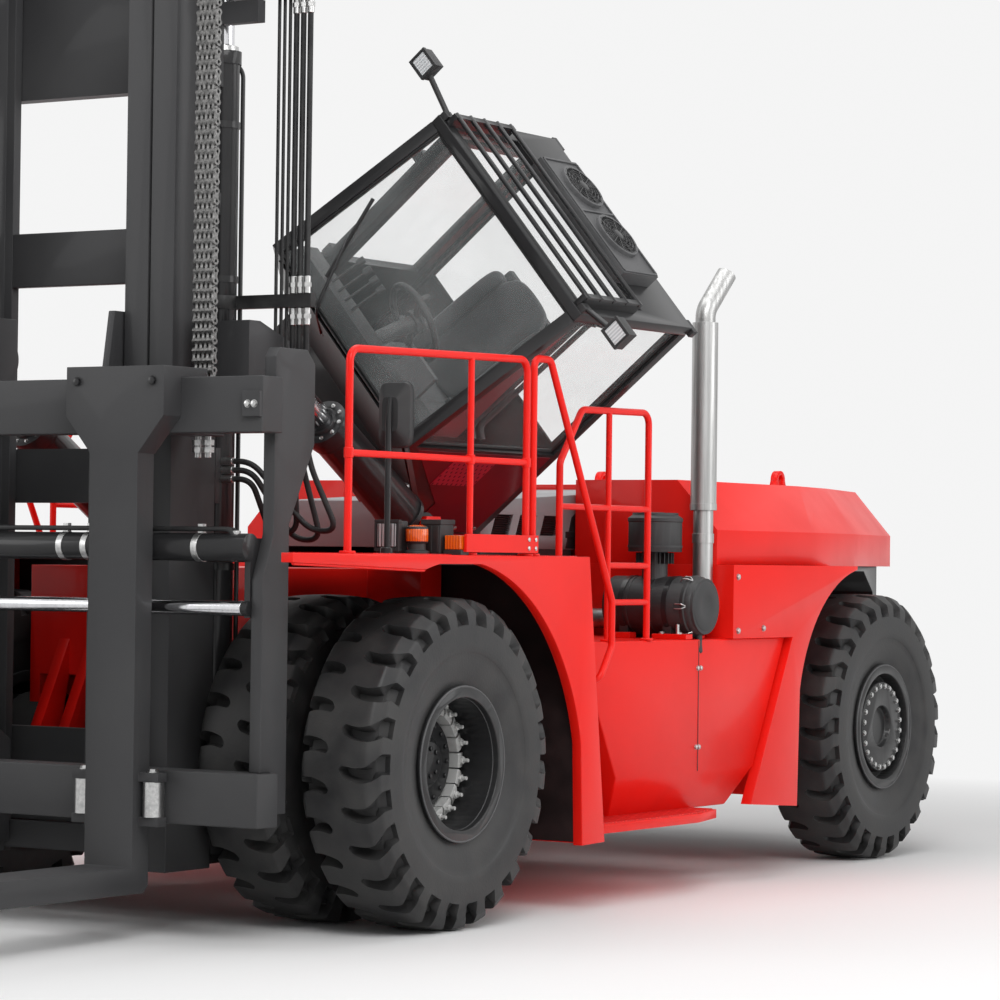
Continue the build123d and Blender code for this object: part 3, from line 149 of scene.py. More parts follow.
class Look(Nodes):
    """A material, with the nodes that vary it over the surface."""

    def __init__(self, name):
        self.material = bpy.data.materials.new(name)
        self.material.use_nodes = True
        super().__init__(self.material.node_tree)
        self.shader = self.tree.nodes["Principled BSDF"]

    def surface(self, **inputs):
        """Sets the main shader's sockets; an underscore stands for a space."""
        self.feed(self.shader, {key.replace("_", " "): value for key, value in inputs.items()})
        return self.material

    def worn(self, mask, colour, shade, spread, rough, **inputs):
        """Surface whose colour and roughness both change where a mask rises."""
        tint = self.mix(mask, colour, shade)
        return self.surface(Base_Color=tint, Roughness=mask * spread + rough, **inputs)

    def place(self):
        return self.node("ShaderNodeTexCoord", output="Object")

    def axes(self):
        parts = self.node("ShaderNodeSeparateXYZ", {0: self.place()}).link.node
        return [Signal(self, socket) for socket in parts.outputs]

    def noise(self, scale, detail, stretch=None):
        where = self.place()
        if stretch:
            where = self.node("ShaderNodeVectorMath", {0: where, 1: stretch}, operation="MULTIPLY")
        return self.node("ShaderNodeTexNoise", {"Vector": where, "Scale": scale, "Detail": detail})

    def ramp(self, factor, low, high):
        """Factor spread from 0 to 1 between two of its values."""
        return self.node("ShaderNodeMapRange", {0: factor, 1: low, 2: high})

    def mix(self, factor, first, second):
        inputs = {0: factor, 6: (*first, 1.0), 7: (*second, 1.0)}
        return self.node("ShaderNodeMix", inputs, 2, data_type="RGBA")

    def bump(self, height, distance, strength):
        return self.node("ShaderNodeBump", {"Height": height, "Distance": distance, "Strength": strength})


def enamel(name, colour, shade, rough, coat=0.4, speckle=0.0006):
    """Sprayed paint with faint orange peel and a little dust."""
    look = Look(name)
    dust = look.ramp(look.noise(1.7, 5.0), 0.42, 0.78)
    peel = look.bump(look.noise(170.0, 1.0), speckle, 0.25)
    gloss = {"Coat_Weight": coat, "Coat_Roughness": 0.08, "Specular_IOR_Level": 0.2}
    return look.worn(dust, colour, shade, 0.12, rough, Normal=peel, **gloss)


def rubber_look(name, colour, shade, scale):
    """Moulded rubber with scuffs and a little road dust."""
    look = Look(name)
    scuff = look.ramp(look.noise(scale, 6.0), 0.35, 0.75)
    grain = look.bump(look.noise(scale * 16.0, 2.0), 0.002, 0.35)
    return look.worn(scuff, colour, shade, 0.16, 0.42, Normal=grain, Specular_IOR_Level=0.3)


def metal_look(name, colour, shade, rough, upright=1.0):
    """Bare metal with marks; a small last number draws them out along Z."""
    look = Look(name)
    marks = look.ramp(look.noise(60.0, 4.0, (1.0, 1.0, upright)), 0.3, 0.7)
    return look.worn(marks, colour, shade, 0.12, rough, Metallic=1.0)


def plastic_look(name, colour, shade):
    """Moulded plastic with a fine grain."""
    look = Look(name)
    patch = look.ramp(look.noise(5.0, 3.0), 0.35, 0.75)
    grain = look.bump(look.noise(420.0, 1.0), 0.0008, 0.3)
    return look.worn(patch, colour, shade, 0.1, 0.5, Normal=grain)


def glass_look(name, colour, dusty, film):
    """Clear pane: mostly see-through, with gloss and a thin film of dust."""
    look = Look(name)
    dust = look.ramp(look.noise(2.2, 4.0), 0.4, 0.8)
    return look.worn(dust, colour, dusty, 0.05, 0.02, Alpha=dust * 0.06 + film, IOR=1.5)


def lens_look(name, colour, shade):
    """Lamp lens with moulded ribs; its colour goes light and dark with the ribs, painted highlight and
    painted shade.
    """
    look = Look(name)
    x, y, _ = look.axes()
    ribs = ((x + y) * 420.0).sine() * 0.5 + 0.5
    relief = look.bump(ribs, 0.002, 0.4)
    return look.worn(ribs, colour, shade, 0.08, 0.1, Normal=relief, Coat_Weight=0.6)


def cloth_look(name, colour, shade):
    """Woven seat cloth."""
    look = Look(name)
    x, y, z = look.axes()
    weave = look.bump((x * 2600.0).sine() * ((y + z) * 2600.0).sine(), 0.0015, 0.5)
    faded = look.ramp(look.noise(7.0, 4.0), 0.35, 0.7)
    return look.worn(faded, colour, shade, 0.1, 0.82, Normal=weave, Sheen_Weight=0.3)


def tread_plate_look(name, colour, shade):
    """Floor plate with raised slanted bars that alternate in direction; the bars are coloured lighter than
    the plate between them, painted light and shade that follow the relief.
    """
    look = Look(name)
    x, y, _ = look.axes()
    first = ((x + y) * 95.0).sine() * ((x - y) * 38.0).sine()
    second = ((x - y) * 95.0).sine() * ((x + y) * 38.0).sine()
    bars = look.ramp(first.larger(second), 0.55, 0.75)
    return look.worn(bars, shade, colour, -0.12, 0.42, Normal=look.bump(bars, 0.006, 0.8))


def punched_look(name, colour, hole_shade):
    """Painted sheet with rows of round holes; the holes are coloured near black as painted shade."""
    look = Look(name)
    x, y, z = look.axes()
    holes = look.ramp((y * 150.0).sine() * ((x - z) * 110.0).sine(), 0.55, 0.7)
    return look.worn(holes, colour, hole_shade, 0.3, 0.35, Normal=look.bump(1.0 - holes, 0.004, 0.6))


RED = enamel("red_enamel", (0.84, 0.010, 0.005), (0.74, 0.013, 0.008), 0.36, 0.12)
# The red cab floor and its ribs drawn dark maroon: painted shade.
RED_PAINTED_SHADE = enamel("red_cab_floor_painted_shade", (0.32, 0.008, 0.02), (0.24, 0.01, 0.02), 0.4)
CHARCOAL = enamel("charcoal_enamel", (0.046, 0.046, 0.048), (0.060, 0.060, 0.061), 0.5, 0.05, 0.0012)
BLACK = enamel("black_enamel", (0.016, 0.016, 0.017), (0.028, 0.028, 0.029), 0.36, 0.25)
RIM = enamel("rim_enamel", (0.012, 0.012, 0.013), (0.03, 0.03, 0.03), 0.34, 0.3)
GREY = enamel("hood_grey_enamel", (0.30, 0.30, 0.31), (0.25, 0.25, 0.26), 0.42, 0.1)
CAST = enamel("cast_enamel", (0.03, 0.03, 0.032), (0.06, 0.058, 0.055), 0.6, 0.0, 0.004)
CLAMP = enamel("clamp_silver", (0.58, 0.58, 0.57), (0.36, 0.36, 0.35), 0.35, 0.2, 0.002)
# Maroon of the panels on the cab's downward-facing side: painted shade with a painted reflection of the red
# body.
MAROON_PAINTED_SHADE = enamel("maroon_painted_shade", (0.13, 0.006, 0.012), (0.09, 0.006, 0.011), 0.42, 0.2)
# Near-black sheet colour inside the front wheel arches: painted shade.
ARCH_PAINTED_SHADE = rubber_look("painted_arch_shade", (0.018, 0.011, 0.011), (0.034, 0.018, 0.018), 9.0)
TYRE = rubber_look("tyre_rubber", (0.022, 0.022, 0.023), (0.048, 0.047, 0.046), 6.0)
HOSE = rubber_look("hose_rubber", (0.012, 0.012, 0.013), (0.03, 0.03, 0.03), 14.0)
CHROME = metal_look("chrome", (0.78, 0.78, 0.80), (0.66, 0.66, 0.68), 0.07, 0.1)
BRIGHT = metal_look("zinc_plate", (0.62, 0.62, 0.61), (0.42, 0.42, 0.42), 0.26)
CHAIN = metal_look("oiled_chain_steel", (0.30, 0.295, 0.29), (0.13, 0.13, 0.128), 0.38)
STACK = metal_look("stack_steel", (0.50, 0.50, 0.495), (0.30, 0.30, 0.295), 0.36, 0.03)
SILVER = metal_look("mirror_silver", (0.86, 0.88, 0.90), (0.80, 0.82, 0.84), 0.02)
PLASTIC = plastic_look("black_plastic", (0.014, 0.014, 0.015), (0.03, 0.03, 0.031))
TRIM = plastic_look("grey_trim_plastic", (0.06, 0.06, 0.063), (0.09, 0.09, 0.092))
GLASS = glass_look("cab_glass", (0.62, 0.68, 0.68), (0.75, 0.78, 0.78), 0.05)
LENS = lens_look("clear_lens", (0.72, 0.74, 0.75), (0.48, 0.50, 0.52))
AMBER = lens_look("amber_lens", (0.86, 0.16, 0.008), (0.60, 0.07, 0.004))
TAIL_RED = lens_look("red_lens", (0.55, 0.008, 0.006), (0.30, 0.004, 0.004))
CLOTH = cloth_look("seat_cloth", (0.022, 0.022, 0.024), (0.045, 0.045, 0.05))
TREAD_PLATE = tread_plate_look("red_tread_plate", (0.80, 0.014, 0.010), (0.58, 0.010, 0.008))
# The punched sheet's dark red is the cab's red in painted shade, with painted shade in its holes.
PUNCHED_PAINTED_SHADE = punched_look("punched_red_sheet_painted_shade", (0.34, 0.01, 0.03), (0.02, 0.003, 0.004))


# Shapes
class Shape:
    """Points and faces of one piece."""

    def __init__(self):
        self.points = []
        self.faces = []

    def add(self, form, place=None):
        points, faces = form
        base = len(self.points)
        for point in points:
            self.points.append(tuple(place @ Vector(point)) if place else tuple(point))
        self.faces += [[base + i for i in face] for face in faces]
        return self


def shapes(count):
    return [Shape() for _ in range(count)]


def mirrored(form):
    """The form reflected across the truck's centre plane."""
    points, faces = form
    return [(-p[0], p[1], p[2]) for p in map(Vector, points)], [tuple(reversed(face)) for face in faces]


def pair(shape, *forms):
    """Adds forms on the left and their reflections on the right."""
    for form in forms:
        shape.add(form)
        shape.add(mirrored(form))
    return shape


def span(middle, half):
    """Limits at one distance from a middle."""
    return middle - half, middle + half


def circle(count, shift=0.0):
    """Cosine and sine of equal steps round a circle."""
    angles = [2 * math.pi * (i + shift) / count for i in range(count)]
    return [(math.cos(angle), math.sin(angle)) for angle in angles]


def turns(count, shift=0.0):
    """Equal turns about the X axis."""
    return [Matrix.Rotation(2 * math.pi * (i + shift) / count, 4, "X") for i in range(count)]


def strips(rows, count):
    """Faces between closed rings of points that follow one another."""
    faces = []
    for a in range(0, (rows - 1) * count, count):
        for i in range(count):
            j = (i + 1) % count
            faces.append((a + i, a + j, a + count + j, a + count + i))
    return faces


def flipped(faces):
    """The faces seen from the other side."""
    return [(face[0], *reversed(face[1:])) for face in faces]


def block(x, y, z):
    """Box between three pairs of limits."""
    points = [(a, b, c) for a in x for b in y for c in z]
    faces = [(0, 1, 3, 2), (4, 6, 7, 5), (0, 4, 5, 1), (2, 3, 7, 6), (0, 2, 6, 4), (1, 5, 7, 3)]
    return points, faces


def prism(outline, low, high, axis="x"):
    """Outline of point pairs pushed along one axis; pairs are (y, z), (x, z) or (x, y)."""
    lay = {
        "x": lambda a, b, c: (c, a, b),
        "y": lambda a, b, c: (a, c, b),
        "z": lambda a, b, c: (a, b, c),
    }[axis]
    count = len(outline)
    points = [lay(a, b, low) for a, b in outline] + [lay(a, b, high) for a, b in outline]
    ends = [tuple(reversed(range(count))), tuple(range(count, 2 * count))]
    return points, ends + strips(2, count)


def lathe(profile, steps):
    """Turns (along, radius) points about the X axis; a closed skin if both ends meet the axis."""
    points = [(along, r * cos, r * sin) for along, r in profile for cos, sin in circle(steps)]
    return points, strips(len(profile), steps)


def lathe_up(foot, profile, steps):
    """Turns (height, radius) points about a line that stands on a foot point."""
    points, faces = lathe(profile, steps)
    return [(foot[0] - z, foot[1] + y, foot[2] + x) for x, y, z in points], faces


def collar(low, high, inner, outer):
    """Section of a flat band or, with no inner radius, of a disc."""
    return [(low, inner), (low, outer), (high, outer), (high, inner)]


def aim(start, end):
    """Placement whose X axis runs from start to end."""
    along = Vector(end) - Vector(start)
    turn = along.to_track_quat("X", "Z").to_matrix().to_4x4()
    return Matrix.Translation(Vector(start)) @ turn


def rod(start, end, radius, steps):
    """Round bar, with a small bevel at both ends."""
    length = (Vector(end) - Vector(start)).length
    edge = min(radius * 0.12, length / 4)
    points, faces = lathe([
        (0.0, 0.0),
        (0.0, radius - edge),
        (edge, radius),
        (length - edge, radius),
        (length, radius - edge),
        (length, 0.0),
    ], steps)
    place = aim(start, end)
    return [place @ Vector(p) for p in points], faces


def rounded(corners, bend, steps=7):
    """Path through the corners with each one rounded off."""
    corners = [Vector(corner) for corner in corners]
    path = [corners[0]]
    for before, here, after in zip(corners, corners[1:], corners[2:]):
        back, on = before - here, after - here
        reach = min(bend, back.length * 0.48, on.length * 0.48)
        first = here + back.normalized() * reach
        last = here + on.normalized() * reach
        for i in range(steps + 1):
            t = i / steps
            path.append(first * (1 - t) ** 2 + here * 2 * t * (1 - t) + last * t ** 2)
    path.append(corners[-1])
    return path


def hose(corners, radius, bend, steps=12):
    """Round tube along a rounded path."""
    path = rounded(corners, bend)
    points = []
    side = None
    for i, here in enumerate(path):
        ahead = path[min(i + 1, len(path) - 1)] - path[max(i - 1, 0)]
        ahead.normalize()
        if side is None:
            side = ahead.orthogonal().normalized()
        side = (side - ahead * side.dot(ahead)).normalized()
        up = ahead.cross(side)
        points += [here + (side * cos + up * sin) * radius for cos, sin in circle(steps)]
    ends = [tuple(reversed(range(steps))), tuple(range(len(points) - steps, len(points)))]
    return points, strips(len(path), steps) + ends


def ring(middle, radius, thick, steps, around=10):
    """Ring of round section about the X axis."""
    points, faces = [], []
    for cos, sin in circle(steps):
        for out, along in circle(around):
            r = radius + thick * out
            points.append(Vector((thick * along, r * cos, r * sin)) + Vector(middle))
    for i in range(steps):
        for k in range(around):
            a, b = i * around, (i + 1) % steps * around
            j = (k + 1) % around
            faces.append((a + k, b + k, b + j, a + j))
    return points, faces


def bolt(place, direction, size):
    """Hex head on a washer, standing out along a direction."""
    washer, head, crown = size * 0.18, size * 0.62, size * 0.62 + size * 0.12
    flange = lathe([(0.0, 0.0), (0.0, size * 1.05), (washer, size * 1.05), (washer, size * 0.92)], 18)
    hexagon = lathe([(washer, size * 0.9), (head, size * 0.9), (crown, size * 0.68), (crown, 0.0)], 6)
    turn = aim(place, Vector(place) + Vector(direction))
    made = Shape().add(flange, turn).add(hexagon, turn)
    return made.points, made.faces


def linked(name, data):
    """New object in the scene."""
    made = bpy.data.objects.new(name, data)
    bpy.context.scene.collection.objects.link(made)
    return made


def piece(name, body, look, shape, bevel=0.0, place=PLACE, sharp=35.0):
    """Makes one scene piece from a shape, places it and lets it ride on a body."""
    mesh = bpy.data.meshes.new(name)
    mesh.from_pydata(shape.points, [], shape.faces)
    mesh.validate()
    mesh.materials.append(look)
    mesh.polygons.foreach_set("use_smooth", [True] * len(mesh.polygons))
    made = linked(name, mesh)
    made.matrix_world = place
    mesh.set_sharp_from_angle(angle=math.radians(sharp))
    if bevel:
        soften(made, bevel)
    if body:
        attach(made, body)
    return made


def cab_piece(name, look, shape, bevel=0.0, sharp=35.0):
    return piece(name, "cab", look, shape, bevel, CAB, sharp)


def soften(made, width):
    """Rounds the sharp edges of a mesh."""
    edge = made.modifiers.new("edge", "BEVEL")
    edge.width = width
    edge.segments = 2
    edge.limit_method = "ANGLE"
    edge.angle_limit = math.radians(32)
    edge.harden_normals = True


# Finishes of the CAD pieces
FINISH = (
    # look, edge radius in metres, pieces
    (RED, 0.0, ("handrails",)),
    (RED, 0.003, ("steps",)),
    (RED, 0.004, ("chassis_frame", "frame_brackets")),
    (RED, 0.006, ("front_fenders", "rear_fenders")),
    (RED, 0.008, ("side_panels",)),
    (RED, 0.012, ("counterweight",)),
    # The cab floor in the darker red of painted shade
    (RED_PAINTED_SHADE, 0.004, ("cab_floor",)),
    (GREY, 0.006, ("engine_hood",)),
    (CAST, 0.004, ("knuckle_left", "knuckle_right")),
    (CAST, 0.005, ("drive_axle", "steer_axle")),
    (CAST, 0.006, ("engine_block",)),
    (STACK, 0.0, ("exhaust_stack",)),
    (PLASTIC, 0.005, ("air_cleaner",)),
    (PLASTIC, 0.006, ("deck_lamps", "cab_console", "roof_lamps")),
    (PLASTIC, 0.008, ("mirrors",)),
    (TRIM, 0.006, ("roof_aircon",)),
    (CHARCOAL, 0.005, ("outer_mast", "outer_crossmembers", "inner_mast", "inner_crossmembers")),
    (CHARCOAL, 0.005, ("carriage_plates",)),
    (CHARCOAL, 0.006, ("carriage_beams",)),
    (CHARCOAL, 0.008, ("fork_left", "fork_right")),
    (BLACK, 0.002, ("roof_guard",)),
    (BLACK, 0.003, ("engine_bay", "lift_cylinders", "fork_positioner")),
    (BLACK, 0.004, ("chain_sheaves", "tilt_barrel_left", "tilt_barrel_right", "cab_frame", "cab_door")),
    (BLACK, 0.005, ("cab_roof",)),
    (BLACK, 0.010, ("counterweight_base",)),
    (RIM, 0.005, ("front_wheels_left", "front_wheels_right", "rear_wheel_left", "rear_wheel_right")),
    (CHROME, 0.0, ("lift_rods",)),
    (CHROME, 0.002, ("tilt_rod_left", "tilt_rod_right")),
    (HOSE, 0.002, ("mast_hoses",)),
    (GLASS, 0.0, ("cab_glass", "cab_door_glass")),
    (CLOTH, 0.012, ("cab_seat",)),
    (TYRE, 0.0, ("front_tyres_left", "front_tyres_right", "rear_tyre_left", "rear_tyre_right")),
    (CHAIN, 0.0, ("lift_chains_front", "lift_chains_rear")),
)


def finish_cad():
    """Gives each CAD piece its look and rounded edges."""
    for look, width, names in FINISH:
        for name in names:
            made = frame["nodes"][name]
            made.data.materials.clear()
            made.data.materials.append(look)
            made.data.polygons.foreach_set("use_smooth", [True] * len(made.data.polygons))
            if not width:
                continue
            join = made.modifiers.new("join", "WELD")
            join.merge_threshold = 0.00005
            flat = made.modifiers.new("flat", "DECIMATE")
            flat.decimate_type = "DISSOLVE"
            flat.angle_limit = math.radians(1.0)
            soften(made, width)


finish_cad()

# Tyres
TYRE_R = 0.7465
TYRE_SHARP = 40.0
SHOULDER_R = 0.736
LUGS = 26
LUG_PITCH = 2 * math.pi / LUGS
LUG_DEPTH = 0.062
LUG_WALL = 0.010
STAGGER_W = 0.060
LEAN_START_R = 0.74
LEAN_RUN = 0.06
GROOVE_X = 0.034
GROOVE_RUN = 0.225
GROOVE_END_R = 0.021
GROOVE_GROWTH = 0.019
GROOVE_SWAY = 0.035
GROOVE_SHIFT = 0.030
GROOVE_SHARE = 0.3


def limited(value):
    return min(1.0, max(0.0, value))


def tyre_profile():
    """Half section from the crown to the bead: (x, radius, share of the groove's depth)."""
    knots = (
        # x, radius, groove depth share, rows up to the next knot
        (0.000, TYRE_R, 0.0, 1),
        (0.030, 0.7460, 0.0, 1),
        (0.036, 0.7459, 1.0, 3),
        (0.055, 0.7456, 1.0, 5),
        (0.150, 0.7400, 1.0, 2),
        (0.164, 0.7360, 1.0, 5),
        (0.205, 0.6880, 1.0, 4),
        (0.214, 0.6350, 0.55, 1),
        (0.2145, 0.6220, 0.0, 2),
        (0.2150, 0.5600, 0.0, 2),
        (0.2110, 0.5050, 0.0, 1),
        (0.2080, 0.5000, 0.0, 1),
        (0.2060, 0.4960, 0.0, 2),
        (0.1960, 0.4400, 0.0, 2),
        (0.1840, 0.3950, 0.0, 1),
        (0.1760, 0.3700, 0.0, 1),
        (0.1700, 0.3560, 0.0, 1),
        (0.1700, 0.3180, 0.0, 1),
    )
    rows = []
    for first, second in zip(knots, knots[1:]):
        for i in range(first[3]):
            t = i / first[3]
            rows.append(tuple(a + (b - a) * t for a, b in zip(first[:3], second)))
    rows.append(knots[-1][:3])
    return rows


def groove_line(x, radius):
    """How far a groove bends to one side at a row of the tyre, and half its width there."""
    travel = max(0.0, x - GROOVE_X) + max(0.0, SHOULDER_R - radius) * 0.9
    reach = min(1.0, travel / GROOVE_RUN)
    bend = GROOVE_SWAY * math.sin(reach * math.pi) - GROOVE_SHIFT * reach
    half = GROOVE_END_R + GROOVE_GROWTH * min(1.0, reach * 1.1) ** 1.4
    if travel < GROOVE_END_R:
        half = math.sqrt(GROOVE_END_R ** 2 - (GROOVE_END_R - travel) ** 2)
    return bend, min(half, GROOVE_SHARE * LUG_PITCH * radius)


def tyre_form(middle):
    """Tyre with staggered lugs on both shoulders, turned about the X axis."""
    half = tyre_profile()
    rows = [(x, r, share, 1) for x, r, share in reversed(half)]
    rows += [(-x, r, share, -1) for x, r, share in half[1:]]
    in_groove = np.array([0.0, 1.0, 1.0, 1.0, 0.0, 0.0, 0.0, 0.0])
    rings = []
    for x, radius, share, side in rows:
        bend, wide = groove_line(abs(x), radius)
        flat = max(wide - LUG_WALL / 2, wide * 0.5)
        edge = wide + LUG_WALL / 2
        land = LUG_PITCH * radius - 2 * edge
        lug = [edge + land * part for part in (0.0, 0.25, 0.5, 0.75)]
        offsets = np.array([-edge, -flat, 0.0, flat] + lug)
        stagger = LUG_PITCH / 2 * limited(0.5 - x / STAGGER_W)
        angle = np.arange(LUGS)[:, None] * LUG_PITCH + offsets[None, :] / radius
        angle = angle.ravel() + stagger + bend * side / TYRE_R
        depth = np.tile(in_groove * share * LUG_DEPTH, LUGS)
        # Grooves are cut towards the axle on the crown, and lean towards the middle on the shoulder
        lean = limited((LEAN_START_R - radius) / LEAN_RUN)
        r = radius - depth * (1.0 - 0.55 * lean)
        along = middle + x - side * depth * lean * 0.8
        rings.append(np.stack([along, r * np.cos(angle), r * np.sin(angle)], 1))
    faces = flipped(strips(len(rows), LUGS * len(in_groove)))
    return np.concatenate(rings).tolist(), faces


DUAL_X = (0.971, 1.530)
REAR_X = 1.310
WHEELBASE = 4.762
FRONT_HUB = Matrix.Translation(at(0, 0, TYRE_R))
REAR_HUB = Matrix.Translation(at(0, WHEELBASE, TYRE_R))


def tyres():
    for side, sign in SIDES:
        front = Shape()
        for x in DUAL_X:
            front.add(tyre_form(x * sign))
        name = f"lugged_tyres_front_{side}"
        made = piece(name, f"front_wheels_{side}", TYRE, front, 0.0, FRONT_HUB, TYRE_SHARP)
        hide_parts(f"front_tyres_{side}")
        rear = Shape().add(tyre_form(REAR_X * sign))
        name = f"lugged_tyre_rear_{side}"
        made = piece(name, f"rear_wheel_{side}", TYRE, rear, 0.0, REAR_HUB, TYRE_SHARP)
        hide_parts(f"rear_tyre_{side}")


tyres()


# Wheel fittings
CLAMPS = 20
CLAMP_X = (1.442, 1.548)
CLAMP_R = (0.226, 0.296)
CLAMP_BOLT_R = 0.262
HUB_FACE_X = 1.520
REAR_FACE_X = 1.485
FRONT_RINGS = (
    # x, radius, thickness
    (1.719, 0.347, 0.005),
    (1.717, 0.334, 0.004),
    (1.712, 0.317, 0.005),
    (1.690, 0.300, 0.004),
)
REAR_RINGS = ((1.499, 0.347, 0.005), (1.497, 0.334, 0.004), (1.491, 0.317, 0.005))
HUB_BOLTS = (
    # x, radius of their circle, count, size
    (HUB_FACE_X, 0.172, 16, 0.012),
    (HUB_FACE_X + 0.025, 0.062, 8, 0.012),
)
REAR_NUTS = (REAR_FACE_X, 0.229, 24, 0.015, 0.5)


def spun(place, sign):
    """Hub placement, turned about for the right-hand side."""
    return place @ Matrix.Rotation(0.0 if sign > 0 else math.pi, 4, "Z")


def bolt_circle(x, radius, count, size, shift=0.0):
    """Bolts round the X axis, heads outward."""
    return [bolt((x, radius * cos, radius * sin), OUTWARD, size) for cos, sin in circle(count, shift)]


def rim_clamps():
    """Wedge clamps round the front rim, each with a nut on a stud."""
    shape = Shape()
    low, high = CLAMP_R
    x0, x1 = CLAMP_X
    wedge = [(x0, low), (x0, high), (x1 - 0.022, high), (x1, low + 0.02), (x1, low)]
    for turn in turns(CLAMPS):
        shape.add(prism(wedge, -0.033, 0.033, "y"), turn)
        shape.add(bolt((x1 - 0.004, 0.0, CLAMP_BOLT_R), OUTWARD, 0.019), turn)
        shape.add(rod((x1, 0.0, CLAMP_BOLT_R), (x1 + 0.034, 0.0, CLAMP_BOLT_R), 0.009, 10), turn)
    return shape


def gathered(forms):
    shape = Shape()
    for form in forms:
        shape.add(form)
    return shape


def rim_rings(rows):
    return gathered(ring((x, 0, 0), radius, thick, 72) for x, radius, thick in rows)


def wheel_fittings():
    """Rim clamps, rim rings and hub bolts on all wheels."""
    for side, sign in SIDES:
        place = spun(FRONT_HUB, sign)
        body = f"front_wheels_{side}"
        rings = rim_rings(FRONT_RINGS)
        studs = gathered(stud for row in HUB_BOLTS for stud in bolt_circle(*row))
        piece(f"rim_clamps_{side}", body, CLAMP, rim_clamps(), 0.005, place)
        # The rim rings are the rim's black steel drawn in the lighter grey trim look: painted highlight.
        piece(f"rim_rings_front_{side}", body, TRIM, rings, 0.0, place)
        piece(f"hub_bolts_front_{side}", body, RIM, studs, 0.0, place)

        place = spun(REAR_HUB, sign)
        body = f"rear_wheel_{side}"
        rings = rim_rings(REAR_RINGS)
        nuts = gathered(bolt_circle(*REAR_NUTS))
        piece(f"hub_nuts_rear_{side}", body, BRIGHT, nuts, 0.0, place)
        # The rim rings are the rim's black steel drawn in the lighter grey trim look: painted highlight.
        piece(f"rim_rings_rear_{side}", body, TRIM, rings, 0.0, place)


wheel_fittings()

# Lift chains
CHAIN_X = 0.842
CHAIN_W = 0.112
CHAIN_PITCH = 0.044
CHAIN_FRONT_Y = -0.790
CHAIN_REAR_Y = -0.490
CHAIN_FOOT_Z = 2.340
CHAIN_TAIL_Z = 4.160
SHEAVE_Z = 4.680
PLATE_T = CHAIN_W / 9
PLATE_HALF_W = 0.0195
PLATE_END = 0.0175
PLATE_TIP = 0.001
PLATE_WAIST = 0.58
CHAIN_PIN_R = 0.0085


def link_plate(x, turn):
    """One link plate with a waist between its two pin holes."""
    half = CHAIN_PITCH / 2
    edge = []
    for part in (0.0, 0.5):
        edge.append((PLATE_HALF_W * (PLATE_WAIST + (1 - PLATE_WAIST) * part ** 2), half * part))
    for part in (0.0, 0.5, 0.87, 1.0):
        edge.append((PLATE_HALF_W * math.sqrt(1.0 - part ** 2) + PLATE_TIP, half + PLATE_END * part))
    side = [(wide, -z) for wide, z in reversed(edge[1:])] + edge
    outline = side + [(-wide, z) for wide, z in reversed(side)]
    points, faces = prism(outline, *span(x, PLATE_T / 2))
    return [turn @ Vector(p) for p in points], faces


def leaf_chain(stations):
    """Leaf chain along a row of placements one pitch apart."""
    shape = Shape()
    for number, turn in enumerate(stations):
        lanes = 4 if number % 2 else 5
        width = CHAIN_W - PLATE_T - (2 * PLATE_T if number % 2 else 0.0)
        for lane in range(lanes):
            shape.add(link_plate(CHAIN_X - width / 2 + width * lane / (lanes - 1), turn))
        start, end = (turn @ Vector((x, 0.0, CHAIN_PITCH / 2)) for x in span(CHAIN_X, CHAIN_W / 2))
        shape.add(rod(start, end, CHAIN_PIN_R, 10))
    return shape


def straight(y, count):
    """Placements of a straight run of chain down from the sheave."""
    top = SHEAVE_Z - CHAIN_PITCH / 2
    return [Matrix.Translation((0, y, top - i * CHAIN_PITCH)) for i in range(count)]


def both_chains(shape):
    return shape.add(mirrored((shape.points, shape.faces)))


def lift_chains():
    front = leaf_chain(straight(CHAIN_FRONT_Y, int((SHEAVE_Z - CHAIN_FOOT_Z - 0.09) / CHAIN_PITCH)))
    for lane in range(4):
        x = span(CHAIN_X - 0.045 + lane * 0.030, 0.011)
        front.add(block(x, span(CHAIN_FRONT_Y, 0.021), (CHAIN_FOOT_Z, CHAIN_FOOT_Z + 0.10)))
    chain = piece("leaf_chains_front", "inner_mast", CHAIN, both_chains(front))
    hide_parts("lift_chains_front")
    travel = joint("carriage_lift")["range_m"][1]
    length = SHEAVE_Z - CHAIN_FOOT_Z
    (length - travel) / length
    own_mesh(chain)

    centre = Matrix.Translation((0, (CHAIN_FRONT_Y + CHAIN_REAR_Y) / 2, SHEAVE_Z))
    radius = (CHAIN_REAR_Y - CHAIN_FRONT_Y) / 2
    bends = round(math.pi * radius / CHAIN_PITCH)
    out = Matrix.Translation((0, radius, 0))
    wrap = [centre @ turn @ out for turn in turns(2 * bends, 0.5)[:bends]]
    chain = piece("leaf_chains_wrap", "inner_mast", CHAIN, both_chains(leaf_chain(wrap)))
    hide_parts("lift_chains_rear")
    rear = leaf_chain(straight(CHAIN_REAR_Y, int((SHEAVE_Z - CHAIN_TAIL_Z) / CHAIN_PITCH)))
    strand = piece("leaf_chains_rear", None, CHAIN, both_chains(rear))
    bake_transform(strand)


lift_chains()

# Body
PANEL_X = 1.560
FENDER_X = 1.600
DECK_X = 1.7405
DECK_Z = 1.680
SHELF_Z = 1.270
STEP_Z = 0.400
SEAM_Y = (2.463, 2.469)
FORK_X = 0.745


